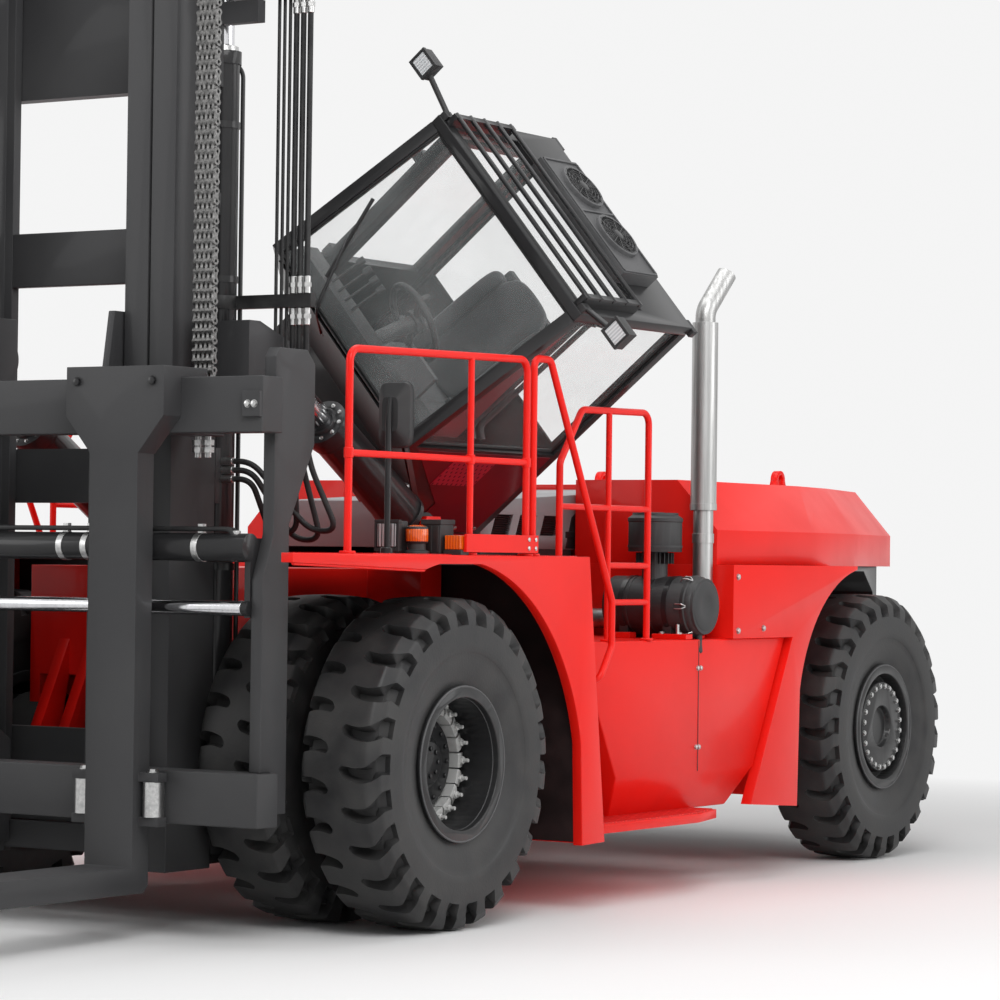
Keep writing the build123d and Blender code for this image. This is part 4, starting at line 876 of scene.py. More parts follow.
def fasteners():
    """Bolt heads on both sides of the body and carriage, and the plugs of the fork hooks."""
    rows = (
        # piece, body, direction, size, places on the left side
        ("side_panel_bolts", "chassis", OUTWARD, 0.013, (
            (PANEL_X, 2.455, 1.123),
            (PANEL_X, 2.487, 1.123),
            (PANEL_X, 2.443, 0.722),
            (PANEL_X, 2.475, 0.722),
        )),
        ("rear_fender_bolts", "chassis", OUTWARD, 0.016, (
            (FENDER_X, 2.805, 1.588),
            (FENDER_X, 2.81, 1.31),
            (FENDER_X, 3.09, 1.32),
        )),
        ("ladder_strip_bolts", "chassis", OUTWARD, 0.012, ((1.590, 1.165, 1.375), (1.590, 1.165, 1.325))),
        ("deck_plate_bolts", "chassis", OUTWARD, 0.012, (
            (DECK_X, 0.500, 1.715),
            (DECK_X, 0.560, 1.715),
            (DECK_X, 0.500, 1.755),
            (DECK_X, 0.560, 1.755),
        )),
        ("beam_keeper_bolts", "carriage", FORWARD, 0.016, ((1.375, -1.192, 2.310), (1.410, -1.192, 2.310))),
    )
    for name, body, direction, size, places in rows:
        piece(name, body, BRIGHT, pair(Shape(), *(bolt(spot, direction, size) for spot in places)))
    for side, sign in SIDES:
        eyes = gathered(bolt((x, -1.3005, 2.410), FORWARD, 0.020) for x in span(sign * FORK_X, 0.205))
        piece(f"fork_hook_plugs_{side}", f"fork_{side}", BLACK, eyes)


fasteners()


def body_trim():
    """Panel seams, tread plates, fender beads, dark sheets of painted shade in the front arches and foot
    plates of the rails.
    """
    seams = pair(
        Shape(),
        block((PANEL_X - 0.002, PANEL_X + 0.0015), SEAM_Y, (0.60, 1.262)),
        block((1.10, PANEL_X - 0.004), SEAM_Y, span(SHELF_Z, 0.0015)),
    )
    piece("panel_seams", "chassis", BLACK, seams)
    tread = [(0.880, 1.270), (1.672, 1.270), (1.672, 2.245), (1.588, 2.580), (0.880, 2.580)]
    plates = pair(Shape(), prism(tread, STEP_Z - 0.001, STEP_Z + 0.005, "z"))
    piece("tread_plates", "chassis", TREAD_PLATE, plates)
    decks = pair(Shape(), block((0.80, 1.68), (-0.68, 1.04), (DECK_Z - 0.001, DECK_Z + 0.004)))
    piece("deck_plates", "chassis", TREAD_PLATE, decks)
    lips = pair(Shape(), hose([(1.726, -1.340, 1.637), (1.726, -0.350, 1.612)], 0.009, 0.02, 8))
    piece("fender_front_beads", "chassis", RED, lips)
    # Dark sheets over and behind the front tyres, inside the arches: painted shade.
    arch_z = DECK_Z - 0.044
    skirt = [(1.021, 0.335), (1.0245, 0.335), (1.0095, arch_z), (1.006, arch_z)]
    shade_sheet = pair(
        Shape(),
        prism(skirt, 0.800, 1.689),
        block((0.780, 1.689), (-0.690, 1.004), (arch_z, DECK_Z - 0.0405)),
    )
    piece("arch_painted_shade_sheets", "chassis", ARCH_PAINTED_SHADE, shade_sheet)
    foot_y = (-0.030, 0.585)
    base = pair(
        Shape(),
        block((1.730, 1.744), foot_y, (1.700, 1.775)),
        block((1.700, 1.744), foot_y, (1.694, 1.704)),
    )
    piece("rail_foot_plates", "chassis", RED, base, 0.002)


body_trim()


def rail_fittings():
    """Round flanges at the rails' feet and weld beads at their joints."""
    rows = (
        # x, low and high end, radius, steps, places along the truck
        (1.700, DECK_Z, DECK_Z + 0.012, 0.036, 24, (-0.905, 0.060, 0.540, 0.600)),
        (1.700, 2.088, 2.132, 0.0215, 20, (-0.905, 0.060, 0.540)),
        (1.545, SHELF_Z, SHELF_Z + 0.012, 0.034, 24, (1.950, 1.560)),
    )
    shape = Shape()
    for x, low, high, radius, steps, places in rows:
        pair(shape, *(rod((x, y, low), (x, y, high), radius, steps) for y in places))
    piece("rail_weld_beads", "chassis", RED, shape)


rail_fittings()


def deck_lights():
    """Work lamp, turn lamp, relay box and marker on the deck's front corner, over the plain housings."""
    lens, amber, bezel = shapes(3)
    z = DECK_Z
    lit = (z + 0.034, z + 0.136)
    pair(lens, block((1.402, 1.498), (-0.236, -0.229), lit))
    rim_y = (-0.236, -0.212)
    for low, high in ((0.012, 0.028), (0.140, 0.154)):
        pair(bezel, block((1.384, 1.516), rim_y, (z + low, z + high)))
    for x in (1.384, 1.504):
        pair(bezel, block((x, x + 0.012), rim_y, (z + 0.028, z + 0.140)))
    for i in range(6):
        x = 1.408 + i * 0.0165
        pair(bezel, block((x, x + 0.004), (-0.2395, -0.235), lit))
    turn_lamp = (1.560, -0.155, z)
    dome = [
        (0.052, 0.0),
        (0.052, 0.047),
        (0.062, 0.0515),
        (0.110, 0.0515),
        (0.124, 0.046),
        (0.131, 0.030),
        (0.132, 0.0),
    ]
    socket = [(0.0, 0.0), (0.0, 0.056), (0.014, 0.056), (0.022, 0.040), (0.052, 0.040)]
    pair(amber, lathe_up(turn_lamp, dome, 36))
    pair(amber, block((1.638, 1.724), (-0.049, 0.009), (z + 0.024, z + 0.088)))
    pair(bezel, lathe_up(turn_lamp, socket, 36))
    pair(bezel, block((1.634, 1.728), (-0.053, 0.013), (z, z + 0.022)))
    pair(bezel, block((1.526, 1.634), (-0.074, 0.044), (z + 0.136, z + 0.158)))
    for x in (1.545, 1.580, 1.615):
        pair(bezel, block(span(x, 0.006), (-0.075, 0.045), (z + 0.012, z + 0.130)))
    piece("work_lamp_lenses", "chassis", LENS, lens, 0.002)
    piece("turn_lamp_lenses", "chassis", AMBER, amber, 0.004)
    piece("lamp_bezels", "chassis", PLASTIC, bezel, 0.002)


deck_lights()

MIRROR_X = 1.500
MIRROR_Z = 2.300
MIRROR_HALF_W = 0.085
MIRROR_HALF_H = 0.145
MIRROR_POST_Y = -0.304


def mirror_outline(wide, tall):
    """Rounded rectangle of a share of the mirror's width and height."""
    outline = []
    for cos, sin in circle(32):
        out = MIRROR_HALF_W * math.copysign(abs(cos) ** 0.35, cos)
        up = MIRROR_HALF_H * math.copysign(abs(sin) ** 0.35, sin)
        outline.append((MIRROR_X + out * wide, MIRROR_Z + up * tall))
    return outline


def mirror_faces():
    """Rounded mirror housings with their glass on the rear side, and their posts."""
    rim = mirror_outline(1.0, 1.0)
    count = len(rim)
    glass = pair(Shape(), prism(mirror_outline(0.9, 0.94), -0.235, -0.2325, "y"))
    rows = ((rim, -0.2345), (rim, -0.259), (mirror_outline(0.45, 0.5), -0.296))
    points = [(a, y, b) for outline, y in rows for a, b in outline]
    ends = [tuple(range(count)), tuple(reversed(range(2 * count, 3 * count)))]
    shell = pair(Shape(), (points, [tuple(reversed(face)) for face in strips(3, count) + ends]))
    foot = (MIRROR_X, MIRROR_POST_Y, DECK_Z)
    arm = pair(
        Shape(),
        rod(foot, (MIRROR_X, MIRROR_POST_Y, DECK_Z + 0.030), 0.030, 20),
        hose([foot, (MIRROR_X, MIRROR_POST_Y, 2.290), (MIRROR_X, -0.290, 2.375)], 0.0142, 0.05),
    )
    made = piece("mirror_shells", "chassis", PLASTIC, shell, 0.004)
    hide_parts("mirrors")
    piece("mirror_glass", "chassis", SILVER, glass)
    piece("mirror_posts", "chassis", BLACK, arm)


mirror_faces()

# Air cleaner and exhaust, on the left
CAN_END_X = 1.585
CAN_Y = 2.490
CAN_Z = 1.437
CAN_R = 0.150
DRUM = (1.290, 2.480, 1.712)
DRUM_RIBS = 24
STAND_UP = Matrix.Rotation(math.radians(-90), 4, "Y")
STACK_FOOT = (1.450, 2.698, 0.0)


def air_can():
    """End cap with its rim, clips and drain valve, ribs and bands of the canister."""
    place = PLACE @ Matrix.Translation((0, CAN_Y, CAN_Z))
    cap, wire, bands = shapes(3)
    end = CAN_END_X
    cap.add(lathe([
        (end - 0.075, 0.147),
        (end - 0.070, 0.157),
        (end - 0.052, 0.157),
        (end - 0.046, 0.150),
        (end - 0.020, 0.146),
        (end - 0.002, 0.132),
        (end + 0.004, 0.118),
        (end + 0.004, 0.060),
        (end + 0.001, 0.052),
        (end + 0.001, 0.0),
    ], 56))
    for x in (1.200, 1.330, 1.420):
        rib = [(x - 0.004, 0.1495), (x - 0.003, 0.1525), (x + 0.003, 0.1525), (x + 0.004, 0.1495)]
        cap.add(lathe(rib, 56))
    drain_x = end - 0.040
    cap.add(hose([(drain_x, 0.0, -0.140), (drain_x, -0.002, -0.205)], 0.019, 0.02, 14))
    valve = lathe([(0.0, 0.0), (0.0, 0.020), (0.030, 0.023), (0.044, 0.012), (0.052, 0.0)], 16)
    down = Matrix.Rotation(math.radians(90), 4, "Y")
    cap.add(valve, Matrix.Translation((drain_x, -0.002, -0.200)) @ down)
    for turn in turns(6, 0.5):
        for y in span(0.0, 0.012):
            wire.add(hose([
                (end - 0.100, y, 0.151),
                (end - 0.088, y, 0.168),
                (end - 0.050, y, 0.166),
                (end - 0.036, y * 0.2, 0.151),
            ], 0.0028, 0.01, 8), turn)
    for x in (1.165, 1.420):
        bands.add(lathe(collar(*span(x, 0.014), CAN_R, CAN_R + 0.0035), 56))
    piece("air_can_cap", "chassis", PLASTIC, cap, 0.0, place)
    piece("air_can_clips", "chassis", BRIGHT, wire, 0.0, place)
    piece("air_can_bands", "chassis", BLACK, bands, 0.0, place)


def air_drum():
    """Bead, lid and intake ribs of the upright drum, and the canister's bracket with its bolts."""
    lid, feet, clip = shapes(3)
    up = Matrix.Translation(DRUM) @ STAND_UP
    cover = [
        (0.150, 0.137),
        (0.156, 0.142),
        (0.172, 0.142),
        (0.178, 0.134),
        (0.194, 0.110),
        (0.203, 0.040),
        (0.203, 0.0),
    ]
    lid.add(lathe(collar(0.022, 0.034, 0.1375, 0.141), 48), up)
    lid.add(lathe(cover, 48), up)
    for turn in turns(DRUM_RIBS):
        lid.add(block((-0.060, -0.004), span(0.0, 0.002), (0.066, 0.098)), up @ turn)
    piece("drum_lid", "chassis", PLASTIC, lid)
    bolt_z = SHELF_Z + 0.026
    feet.add(block((1.120, 1.230), (2.330, 2.400), (SHELF_Z, SHELF_Z + 0.030)))
    feet.add(block((1.360, 1.560), (2.330, 2.400), (SHELF_Z, bolt_z)))
    feet.add(block((1.360, 1.500), (2.580, 2.640), (SHELF_Z, bolt_z)))
    piece("air_can_bracket", "chassis", RED, feet, 0.003)
    for x in (1.500, 1.400):
        clip.add(bolt((x, 2.365, bolt_z), UPWARD, 0.016))
    clip.add(rod((1.500, 2.350, bolt_z), (1.500, 2.350, 1.345), 0.010, 14))
    piece("air_can_bolts", "chassis", BRIGHT, clip)


air_can()
air_drum()


def exhaust_fittings():
    """Sleeve joint and the wider outer tube of the tail pipe, with its clamp band."""
    sleeve = Shape()
    for low, high, radius in ((1.760, 1.810, 0.0565), (1.930, 2.900, 0.067), (1.930, 1.965, 0.0695)):
        sleeve.add(lathe_up(STACK_FOOT, collar(low, high, 0.0515, radius), 40))
    piece("stack_sleeves", "chassis", STACK, sleeve, 0.001)


exhaust_fittings()

LOUVRE_STARTS = (1.960, 2.200, 2.440)
LOUVRE_SLATS = 9
LOUVRE_SLOPE = 0.045 / 0.105


def hood_louvres():
    """Slats in the hood's openings, dark panels of painted shade behind them, dark panels beside them, and
    the latch handles.
    """
    slats, back, latch, panel = shapes(4)
    for start in LOUVRE_STARTS:
        for i in range(LOUVRE_SLATS):
            z = 1.796 + i * 0.0115
            y = start + (z - 1.790) * LOUVRE_SLOPE
            slat = [(0.597, z), (0.614, z + 0.004), (0.614, z + 0.007), (0.597, z + 0.004)]
            pair(slats, prism(slat, y + 0.002, y + 0.168, "y"))
        low, high = ((start - 0.008, start + 0.176), (start + 0.226, start + 0.042))
        opening = [(y, 1.782) for y in low] + [(y, 1.903) for y in high]
        # Dark sheet behind each opening, where the engine bay lies in shade: painted shade.
        pair(back, prism(opening, 0.588, 0.592))
    pair(latch, block((0.619, 0.626), (2.700, 2.790), (1.780, 1.815)))
    dark = [(2.700, 1.725), (3.700, 1.725), (3.700, 2.045), (2.960, 2.010), (2.760, 1.890)]
    pair(panel, prism(dark, 0.6195, 0.6225))
    piece("hood_slats", "engine_hood", BLACK, slats)
    piece("hood_louvre_painted_shade", "engine_hood", BLACK, back)
    piece("hood_latches", "engine_hood", BLACK, latch, 0.003)
    piece("hood_dark_panels", "engine_hood", BLACK, panel, 0.001)


hood_louvres()

# Cab: the lower and upper ends of its raked front as (y, z), then its width and heights
FOOT = (1.050, 0.280)
BELLY = (0.430, 0.720)
ROOF_FRONT = (0.720, 1.640)
CAB_W = 1.260
CAB_X = -CAB_W / 2
CAB_TOP = 1.695
FANS = ((-0.810, 1.470), (-0.490, 1.460))
FAN_Z = 1.770
FAN_BLADES = 7
GUARD_SPOKES = 12


def screen_y(z):
    """Front of the windscreen at a height."""
    return BELLY[0] + 0.020 + (z - BELLY[1]) * (ROOF_FRONT[0] - BELLY[0]) / (ROOF_FRONT[1] - BELLY[1])


def roof_fans():
    """Fan wheels under wire guards on the cooling unit, and the ribs of its cover."""
    guard, fan, ribs = shapes(3)
    wire_z = 0.0235
    hub = [(0.020, 0.0), (0.020, 0.030), (0.026, 0.030), (0.028, 0.024), (0.028, 0.0)]
    blade = [(0.024, -0.022), (0.110, -0.034), (0.110, 0.030), (0.024, 0.014)]
    for x, y in FANS:
        stand = Matrix.Translation((x, y, FAN_Z)) @ STAND_UP
        for radius in (0.036, 0.056, 0.076, 0.096, 0.115):
            guard.add(ring((wire_z, 0, 0), radius, 0.0022, 40, 6), stand)
        for turn in turns(GUARD_SPOKES):
            guard.add(rod((wire_z, 0.028, 0.0), (wire_z, 0.121, 0.0), 0.0024, 8), stand @ turn)
        guard.add(lathe(hub, 28), stand)
        for turn in turns(FAN_BLADES):
            fan.add(prism(blade, 0.009, 0.013), stand @ turn)
    rib_z = (FAN_Z - 0.002, FAN_Z + 0.008)
    for y in (1.300, 1.610):
        ribs.add(block((-0.985, -0.265), span(y, 0.006), rib_z))
    for x in (-0.990, -0.650, -0.260):
        ribs.add(block(span(x, 0.006), (1.300, 1.610), rib_z))
    cab_piece("fan_guards", BLACK, guard)
    cab_piece("fan_wheels", PLASTIC, fan, 0.001)
    cab_piece("cooling_unit_ribs", TRIM, ribs, 0.002)


roof_fans()


def cab_lamps():
    """Lenses, bezels and fins of the roof work lamps; red lamps on the roof's rear edge."""
    lens, bezel, red = shapes(3)
    y, low, high = 0.655, CAB_TOP + 0.060, CAB_TOP + 0.160
    lit = (low + 0.012, high - 0.012)
    rim_y = (y - 0.006, y + 0.016)
    for x in (0.215, -CAB_W - 0.215):
        lens.add(block(span(x, 0.044), (y - 0.003, y + 0.002), lit))
        for rim_z in ((low - 0.003, lit[0]), (lit[1], high + 0.003)):
            bezel.add(block(span(x, 0.058), rim_y, rim_z))
        for a in (x - 0.058, x + 0.046):
            bezel.add(block((a, a + 0.012), rim_y, lit))
        for i in range(6):
            z = low + 0.010 + i * 0.0155
            bezel.add(block(span(x, 0.050), (y + 0.068, y + 0.080), (z, z + 0.005)))
    for x in (-0.024, -CAB_W + 0.024):
        red.add(block(span(x, 0.036), (1.826, 1.834), (1.652, 1.684)))
    cab_piece("roof_lamp_lenses", LENS, lens, 0.002)
    cab_piece("roof_lamp_bezels", PLASTIC, bezel, 0.002)
    cab_piece("roof_tail_lamps", TAIL_RED, red, 0.004)


cab_lamps()


def cab_seals():
    """Rubber seals round the panes, the screen wiper and the grab bars inside the left pane."""
    seal, wiper, bars = shapes(3)
    left, right, edge = -0.062, 0.062 - CAB_W, -0.026
    low, high = BELLY[1] + 0.008, 1.632
    front_low, front_high = screen_y(low), screen_y(high)
    side_rear, rear = 1.722, 1.774
    loops = (
        # x and y of the two lower corners, then of the two upper ones
        ((left, front_low), (right, front_low), (right, front_high), (left, front_high)),
        ((edge, BELLY[0] + 0.075), (edge, side_rear), (edge, side_rear), (edge, ROOF_FRONT[0] + 0.055)),
        ((left, rear), (right, rear), (right, rear), (left, rear)),
    )
    for loop in loops:
        corners = [(x, y, z) for (x, y), z in zip(loop, (low, low, high, high))]
        for first, second in zip(corners, corners[1:] + corners[:1]):
            seal.add(hose([first, second], 0.009, 0.01, 8))
    pivot = (-0.820, 0.575, 0.600)
    elbow = (-0.835, 0.400, 0.730)
    wiper.add(rod((-0.820, 0.610, 0.630), pivot, 0.020, 18))
    wiper.add(hose([pivot, elbow, (-1.040, screen_y(1.02) - 0.030, 1.020)], 0.008, 0.06, 10))
    blade = [(-0.955, screen_y(0.84) - 0.014, 0.840), (-1.130, screen_y(1.22) - 0.014, 1.220)]
    wiper.add(hose(blade, 0.010, 0.01, 8))
    for y in (0.980, 1.060):
        head = y + 0.040
        grip = [(-0.040, y, 0.760), (-0.100, y, 0.790), (-0.100, head, 1.560), (-0.040, head, 1.600)]
        bars.add(hose(grip, 0.014, 0.05))
    cab_piece("pane_seals", HOSE, seal)
    cab_piece("screen_wiper", BLACK, wiper)
    cab_piece("cab_grab_bars", PLASTIC, bars)


cab_seals()


def cab_panels():
    """Dark red panels below and inside the left pane, a punched patch, the front and floor stiffeners; the
    dark reds are painted shade.
    """
    panel, nose, punched, ribs, bolts = shapes(5)
    lower = [(1.115, 0.115), (1.115, 0.330), (0.520, 0.705), (1.720, 0.705), (1.720, 0.115)]
    panel.add(prism(lower, -0.001, 0.004))
    front = [
        (FOOT[0] - 0.004, 0.120),
        (FOOT[0] - 0.004, FOOT[1]),
        (BELLY[0] + 0.020, BELLY[1] - 0.030),
        (BELLY[0] + 0.026, BELLY[1] - 0.024),
        (FOOT[0] + 0.001, FOOT[1] + 0.004),
        (FOOT[0] + 0.001, 0.120),
    ]
    nose.add(prism(front, 0.070 - CAB_W, -0.070))
    punched.add(block((0.003, 0.007), (0.900, 1.280), (0.470, 0.680)))
    foot_y, head_y = screen_y(0.74), screen_y(1.61)
    trim = [(foot_y + 0.09, 0.74), (foot_y + 0.42, 0.74), (head_y + 0.17, 1.61), (head_y + 0.06, 1.61)]
    panel.add(prism(trim, -0.066, -0.060))
    for y in (1.180, 1.420, 1.640):
        ribs.add(block((0.030 - CAB_W, -0.080), span(y, 0.030), (0.004, 0.042)))
    for x in (-0.300, -0.960):
        ribs.add(block(span(x, 0.035), (1.070, 1.770), (0.010, 0.042)))
    for y in (1.150, 1.330, 1.510, 1.690):
        bolts.add(bolt((0.004, y, 0.150), OUTWARD, 0.011))
    # The maroon panels, the punched sheet's dark red and the floor ribs' red are painted shade.
    cab_piece("cab_side_panels", MAROON_PAINTED_SHADE, panel, 0.002)
    cab_piece("cab_front_panel", BLACK, nose, 0.002)
    cab_piece("cab_punched_sheet", PUNCHED_PAINTED_SHADE, punched, 0.001)
    cab_piece("cab_floor_ribs", RED_PAINTED_SHADE, ribs, 0.004)
    cab_piece("cab_panel_bolts", BRIGHT, bolts)


cab_panels()


def pad(middle, size, puff, steps=14):
    """Stuffed pad: a rounded block that swells in the middle of its faces."""
    points, faces = [], []
    rows = [-1 + 2 * i / steps for i in range(steps + 1)]
    half = [a / 2 for a in size]
    spots = {}

    def spot(u, v, w):
        key = (round(u, 5), round(v, 5), round(w, 5))
        if key not in spots:
            a, b, c = 1 - u * u, 1 - v * v, 1 - w * w
            swell = 1 + puff * (a * b + b * c + c * a)
            corner = (abs(u) ** 6 + abs(v) ** 6 + abs(w) ** 6) ** (1 / 6)
            place = Vector((u, v, w)) / corner * swell
            spots[key] = len(points)
            points.append(tuple(m + p * h for m, p, h in zip(middle, place, half)))
        return spots[key]

    for axis in range(3):
        for end in (-1, 1):
            for a0, a1 in zip(rows, rows[1:]):
                for b0, b1 in zip(rows, rows[1:]):
                    corners = [(a0, b0), (a1, b0), (a1, b1), (a0, b1)]
                    if end < 0:
                        corners.reverse()
                    face = []
                    for a, b in corners:
                        uvw = [0.0, 0.0, 0.0]
                        uvw[axis] = end
                        uvw[(axis + 1) % 3] = a
                        uvw[(axis + 2) % 3] = b
                        face.append(spot(*uvw))
                    faces.append(face)
    return points, faces


BELLOWS = 6
FOLD = 0.045


def seat():
    """Padded driver's seat with side bolsters and arm pads, on a bellows base."""
    x = CAB_X
    cushion, base = shapes(2)
    cushion.add(pad((x, 1.320, 0.470), (0.330, 0.470, 0.110), 0.10))
    for middle in span(x, 0.200):
        cushion.add(pad((middle, 1.320, 0.482), (0.105, 0.470, 0.120), 0.06))
    lean = Matrix.Translation((x, 1.555, 0.860)) @ Matrix.Rotation(math.radians(-10.6), 4, "X")
    cushion.add(pad((0.0, -0.010, 0.0), (0.330, 0.090, 0.620), 0.08), lean)
    for middle in span(0.0, 0.200):
        cushion.add(pad((middle, -0.016, -0.030), (0.100, 0.105, 0.560), 0.05), lean)
    made = cab_piece("seat_pads", CLOTH, cushion, 0.0, 60.0)
    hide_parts("cab_seat")
    for i in range(BELLOWS):
        z = 0.110 + i * FOLD
        grow = 0.010 if i % 2 else 0.0
        base.add(block(span(x, 0.150 + grow), span(1.365, 0.140 + grow), (z, z + FOLD - 0.001)))
    base.add(block(span(x, 0.230), (1.120, 1.545), (0.380, 0.414)))
    for side in (-1, 1):
        base.add(block(span(x + side * 0.270, 0.032), (1.200, 1.520), (0.640, 0.676)))
        base.add(block(span(x + side * 0.262, 0.014), (1.470, 1.540), (0.420, 0.645)))
    back = [(1.500, 0.440), (1.545, 0.440), (1.670, 1.150), (1.625, 1.150)]
    base.add(prism(back, *span(x, 0.215)))
    cab_piece("seat_base", PLASTIC, base, 0.008)


seat()


def cab_controls():
    """Steering wheel grip, levers, pedals and a display on the dashboard."""
    grip, lever, screen = shapes(3)
    x, y, z = CAB_X, BELLY[0], BELLY[1]
    hub = Vector((x, y + 0.400, z + 0.200))
    stand = aim(hub, hub + Vector((0, 0.210, 0.180)))
    grip.add(ring((0, 0, 0), 0.190, 0.0172, 56, 12), stand)
    grip.add(lathe([(0.010, 0.0), (0.010, 0.066), (0.028, 0.058), (0.030, 0.0)], 30), stand)
    grip.add(rod((0.010, 0.0, 0.190), (0.055, 0.0, 0.190), 0.016, 14), stand)
    for i in range(4):
        a, b = x - 0.330 + i * 0.060, y + 0.130
        lever.add(rod((a, b, z + 0.085), (a, b + 0.060, z + 0.230), 0.007, 10))
        lever.add(rod((a, b + 0.058, z + 0.225), (a, b + 0.075, z + 0.265), 0.018, 14))
    for a in span(x, 0.160):
        lever.add(block(span(a, 0.045), (1.085, 1.100), (0.150, 0.290)))
        lever.add(rod((a, 1.100, 0.120), (a, 1.095, 0.160), 0.010, 10))
    a, b = x + 0.320, y + 0.135
    screen.add(block(span(a, 0.100), span(b, 0.015), (z + 0.110, z + 0.250)))
    screen.add(rod((a, b, z + 0.085), (a, b, z + 0.115), 0.016, 12))
    cab_piece("steering_grip", HOSE, grip)
    cab_piece("cab_levers", PLASTIC, lever, 0.002)
    cab_piece("cab_display", TRIM, screen, 0.006)


cab_controls()

# Mast
HOSE_X = (1.040, 1.078, 1.116)
HOSE_Y = -0.400
LINE_X = (0.945, 0.975, 1.005)
LIFT_X = 0.650
LIFT_Y = -0.430
PORT_X = 0.722


def mast_fittings():
    """Hose ferrules, return hoses, steel pipes on the cylinders and gland nuts."""
    ferrule, hoses, pipes = shapes(3)
    for x in HOSE_X:
        for low in (2.322, 2.700, 2.842, 4.100, 4.242):
            pair(ferrule, rod((x, HOSE_Y, low), (x, HOSE_Y, low + 0.078), 0.0165, 16))
            pair(ferrule, lathe_up((x, HOSE_Y, low + 0.029), collar(0.0, 0.020, 0.0, 0.020), 6))
    for x in LINE_X:
        pair(hoses, hose([(x, HOSE_Y, 2.320), (x, HOSE_Y, 4.500)], 0.008, 0.02, 10))
    loops = (
        # hose x, lowest x, lowest y, lowest height, end height
        (1.040, 1.000, -0.330, 1.770, 2.010),
        (1.078, 1.110, -0.300, 1.740, 2.050),
        (1.116, 1.220, -0.330, 1.780, 2.090),
    )
    for x, low_x, low_y, low_z, end_z in loops:
        route = [
            (x, HOSE_Y, 2.270),
            (x + 0.020, HOSE_Y, 2.090),
            (low_x + 0.030, low_y, low_z),
            (low_x - 0.120, low_y, low_z),
            (PORT_X + 0.130, -0.440, end_z),
            (PORT_X, -0.470, end_z),
        ]
        pair(hoses, hose(route, 0.0135, 0.16, 12))
        pair(ferrule, rod((PORT_X - 0.012, -0.470, end_z), (PORT_X + 0.050, -0.468, end_z), 0.018, 14))
    pipe = [(0.706, -0.345, 0.420), (0.706, -0.345, 3.860), (0.690, -0.372, 3.900)]
    pair(pipes, hose(pipe, 0.0105, 0.03, 10))
    for z in (0.900, 1.600, 2.900, 3.600):
        pair(pipes, lathe_up((LIFT_X, LIFT_Y, z), collar(0.0, 0.030, 0.0798, 0.085), 36))
    gland = [(0.0, 0.0565), (0.0, 0.076), (0.022, 0.074), (0.030, 0.0565)]
    pair(ferrule, lathe_up((LIFT_X, LIFT_Y, 3.950), gland, 30))
    piece("hose_ferrules", "outer_mast", BRIGHT, ferrule)
    piece("mast_hose_loops", "outer_mast", HOSE, hoses)
    piece("cylinder_pipes", "outer_mast", BLACK, pipes)


mast_fittings()

# Carriage and forks
TUBE_Y = -1.108
TUBE_Z = 1.700
TUBE_END_X = 1.262
GUIDE_X = 1.312
GUIDE_Z = 1.440


def carriage_fittings():
    """Chromed guide, tube bands, clipped hoses, keeper plates and chain studs."""
    bands, hoses, studs = shapes(3)
    chrome = gathered([rod((-GUIDE_X, TUBE_Y, GUIDE_Z), (GUIDE_X, TUBE_Y, GUIDE_Z), 0.0325, 28)])
    tube = Matrix.Translation((0, TUBE_Y, TUBE_Z))
    for x in (-1.080, -0.475, -0.340, 0.340, 0.475, 1.080):
        bands.add(lathe(collar(*span(x, 0.016), 0.0598, 0.0632), 40), tube)
        bands.add(block(span(x, 0.014), span(TUBE_Y, 0.012), (1.760, 1.800)))
    for y in span(TUBE_Y, 0.016):
        low, high = 1.640, 1.778
        left, right = span(0.0, TUBE_END_X)
        route = [(left, y, low), (left, y, high), (right, y, high), (right, y, low)]
        hoses.add(hose(route, 0.011, 0.05, 10))
    for x in span(0.0, TUBE_END_X):
        bands.add(rod((x, TUBE_Y, 1.640), (x, TUBE_Y, 1.772), 0.020, 14))
    for x in span(CHAIN_X, 0.028):
        pair(studs, rod((x, CHAIN_FRONT_Y, 2.095), (x, CHAIN_FRONT_Y, 2.192), 0.015, 14))
        for z in (2.118, 2.150):
            pair(studs, lathe_up((x, CHAIN_FRONT_Y, z), collar(0.0, 0.024, 0.0, 0.026), 6))
    plates = pair(Shape(), block((1.345, 1.438), (-1.193, -1.174), (2.255, 2.365)))
    piece("positioner_chrome_rod", "carriage", CHROME, chrome)
    piece("positioner_bands", "carriage", BRIGHT, bands, 0.001)
    piece("positioner_hoses", "carriage", HOSE, hoses)
    piece("chain_studs", "carriage", BRIGHT, studs)
    piece("beam_keeper_plates", "carriage", CHARCOAL, plates, 0.003)
    for side, sign in SIDES:
        bright = Shape()
        for x in span(sign * FORK_X, 0.185):
            bright.add(lathe_up((x, -1.227, 0.540), collar(0.0, 0.150, 0.0, 0.0465), 36))
            bright.add(bolt((x, -1.231, 0.7305), UPWARD, 0.024))
        piece(f"fork_rollers_{side}", f"fork_{side}", BRIGHT, bright)


carriage_fittings()

TILT_X = 0.875
TILT_FOOT = (0, 0.870, 1.800)
TILT_TIP = (0, -0.350, 2.550)
GLAND_BOLTS = 10


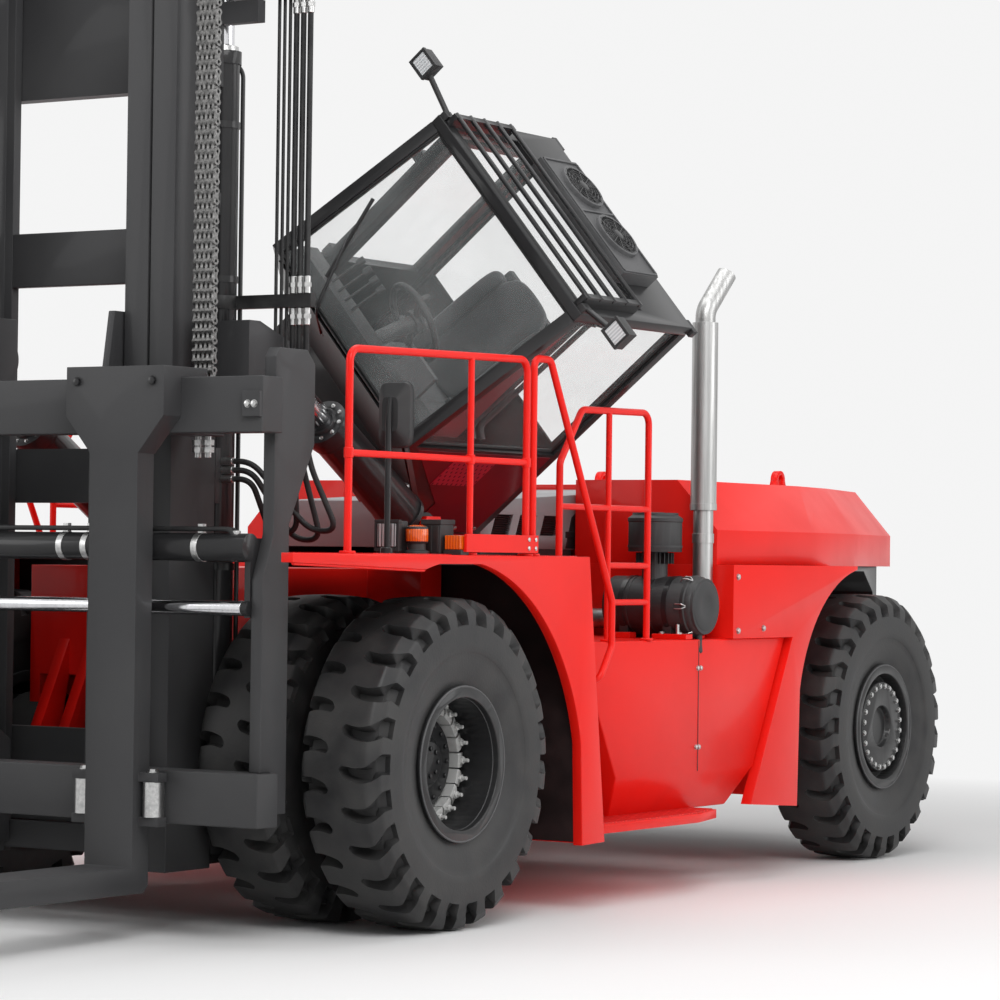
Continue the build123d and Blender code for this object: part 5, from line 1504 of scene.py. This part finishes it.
def tilt_fittings():
    """End caps, gland bolts and oil ports of the tilt cylinders."""
    for side, sign in SIDES:
        caps, ports = shapes(2)
        lay = Matrix.Translation((sign * TILT_X, 0, 0)) @ aim(TILT_FOOT, TILT_TIP)
        for x, wide in ((0.128, 0.030), (0.828, 0.022)):
            caps.add(lathe(collar(x, x + wide, 0.100, 0.114), 48), lay)
        for turn in turns(GLAND_BOLTS):
            ports.add(bolt((0.930, 0.094, 0.0), OUTWARD, 0.010), lay @ turn)
        for x in (0.190, 0.770):
            ports.add(rod((x, 0.0, 0.100), (x, 0.0, 0.136), 0.022, 16), lay)
        caps.add(lathe([(0.928, 0.0605), (0.928, 0.078), (0.944, 0.070), (0.944, 0.0605)], 36), lay)
        piece(f"tilt_caps_{side}", f"tilt_barrel_{side}", BLACK, caps, 0.002)
        piece(f"tilt_ports_{side}", f"tilt_barrel_{side}", BRIGHT, ports)


tilt_fittings()

# Camera
VIEW_FROM = at(10.153, -13.2095, 1.6622)
VIEW_YAW = 0.5586
VIEW_RISE = 0.0170
VIEW_LEAN = 0.0126
VIEW_LENS = 126.16


def camera():
    """Camera where the photograph was taken from."""
    eye = bpy.data.cameras.new("camera")
    eye.lens = VIEW_LENS
    eye.sensor_width = 36.0
    eye.clip_end = 200.0
    made = linked("camera", eye)
    turn = Matrix.Rotation(VIEW_YAW, 4, "Z") @ Matrix.Rotation(math.pi / 2 + VIEW_RISE, 4, "X")
    made.matrix_world = Matrix.Translation(VIEW_FROM) @ turn @ Matrix.Rotation(VIEW_LEAN, 4, "Z")
    bpy.context.scene.camera = made


# Studio
BACKDROP = (0.91, 0.91, 0.91, 1.0)
FLOOR_COLOUR = (0.86, 0.86, 0.86, 1.0)
FLOOR_REACH = 60.0
FLOOR_FADE = (6.5, 11.0)
SKY_STRENGTH = 0.26
LAMP_TARGET = Vector((0, 0, 1.4))
LAMPS = (
    # name, place, width, height, watts
    ("key", (7.0, -7.0, 8.5), 6.0, 5.0, 620.0),
    ("side", (10.0, 3.0, 5.0), 5.0, 7.0, 320.0),
    ("top", (0.0, 0.5, 10.5), 9.0, 9.0, 560.0),
    ("left_fill", (-8.0, -8.0, 5.0), 5.0, 5.0, 200.0),
)


def floor():
    """Pale floor that fades into the backdrop."""
    mesh = bpy.data.meshes.new("floor")
    low, high = span(0.0, FLOOR_REACH)
    mesh.from_pydata([(low, low, 0), (high, low, 0), (high, high, 0), (low, high, 0)], [], [(0, 1, 2, 3)])
    made = linked("floor", mesh)
    made.location = (0.0, 0.0, -0.001)
    look = Look("pale_floor")
    x, y, _ = look.axes()
    fade = look.ramp((x * x + y * y).root(), *FLOOR_FADE)
    look.surface(Base_Color=FLOOR_COLOUR, Roughness=0.7, Specular_IOR_Level=0.1)
    glow = look.node("ShaderNodeEmission", {"Color": BACKDROP, "Strength": 1.0})
    look.mixed(fade, Signal(look, look.shader.outputs[0]), glow, "Material Output")
    mesh.materials.append(look.material)


def sky():
    """Even light from all sides, with the pale backdrop where it is seen or mirrored."""
    world = bpy.data.worlds.new("studio")
    world.use_nodes = True
    bpy.context.scene.world = world
    nodes = Nodes(world.node_tree)
    light = nodes.tree.nodes["Background"]
    nodes.feed(light, {"Color": (1.0, 1.0, 1.0, 1.0), "Strength": SKY_STRENGTH})
    seen = nodes.node("ShaderNodeBackground", {"Color": BACKDROP})
    path = nodes.node("ShaderNodeLightPath").link.node
    kinds = ("Is Camera Ray", "Is Transmission Ray", "Is Glossy Ray")
    direct, clear, glossy = (Signal(nodes, path.outputs[kind]) for kind in kinds)
    shown = direct.larger(clear).larger(glossy)
    nodes.mixed(shown, Signal(nodes, light.outputs[0]), seen, "World Output")


def lamps():
    """Large soft lamps round the truck, out of the camera's sight."""
    for name, place, width, height, watts in LAMPS:
        data = bpy.data.lights.new(name, "AREA")
        data.shape = "RECTANGLE"
        data.size = width
        data.size_y = height
        data.energy = watts
        lamp = linked(name, data)
        spot = Vector(place)
        lamp.location = spot
        lamp.rotation_euler = (LAMP_TARGET - spot).to_track_quat("-Z", "Y").to_euler()
        lamp.visible_camera = False


camera()
floor()
sky()
lamps()

scene = bpy.context.scene
scene.view_settings.view_transform = "Standard"
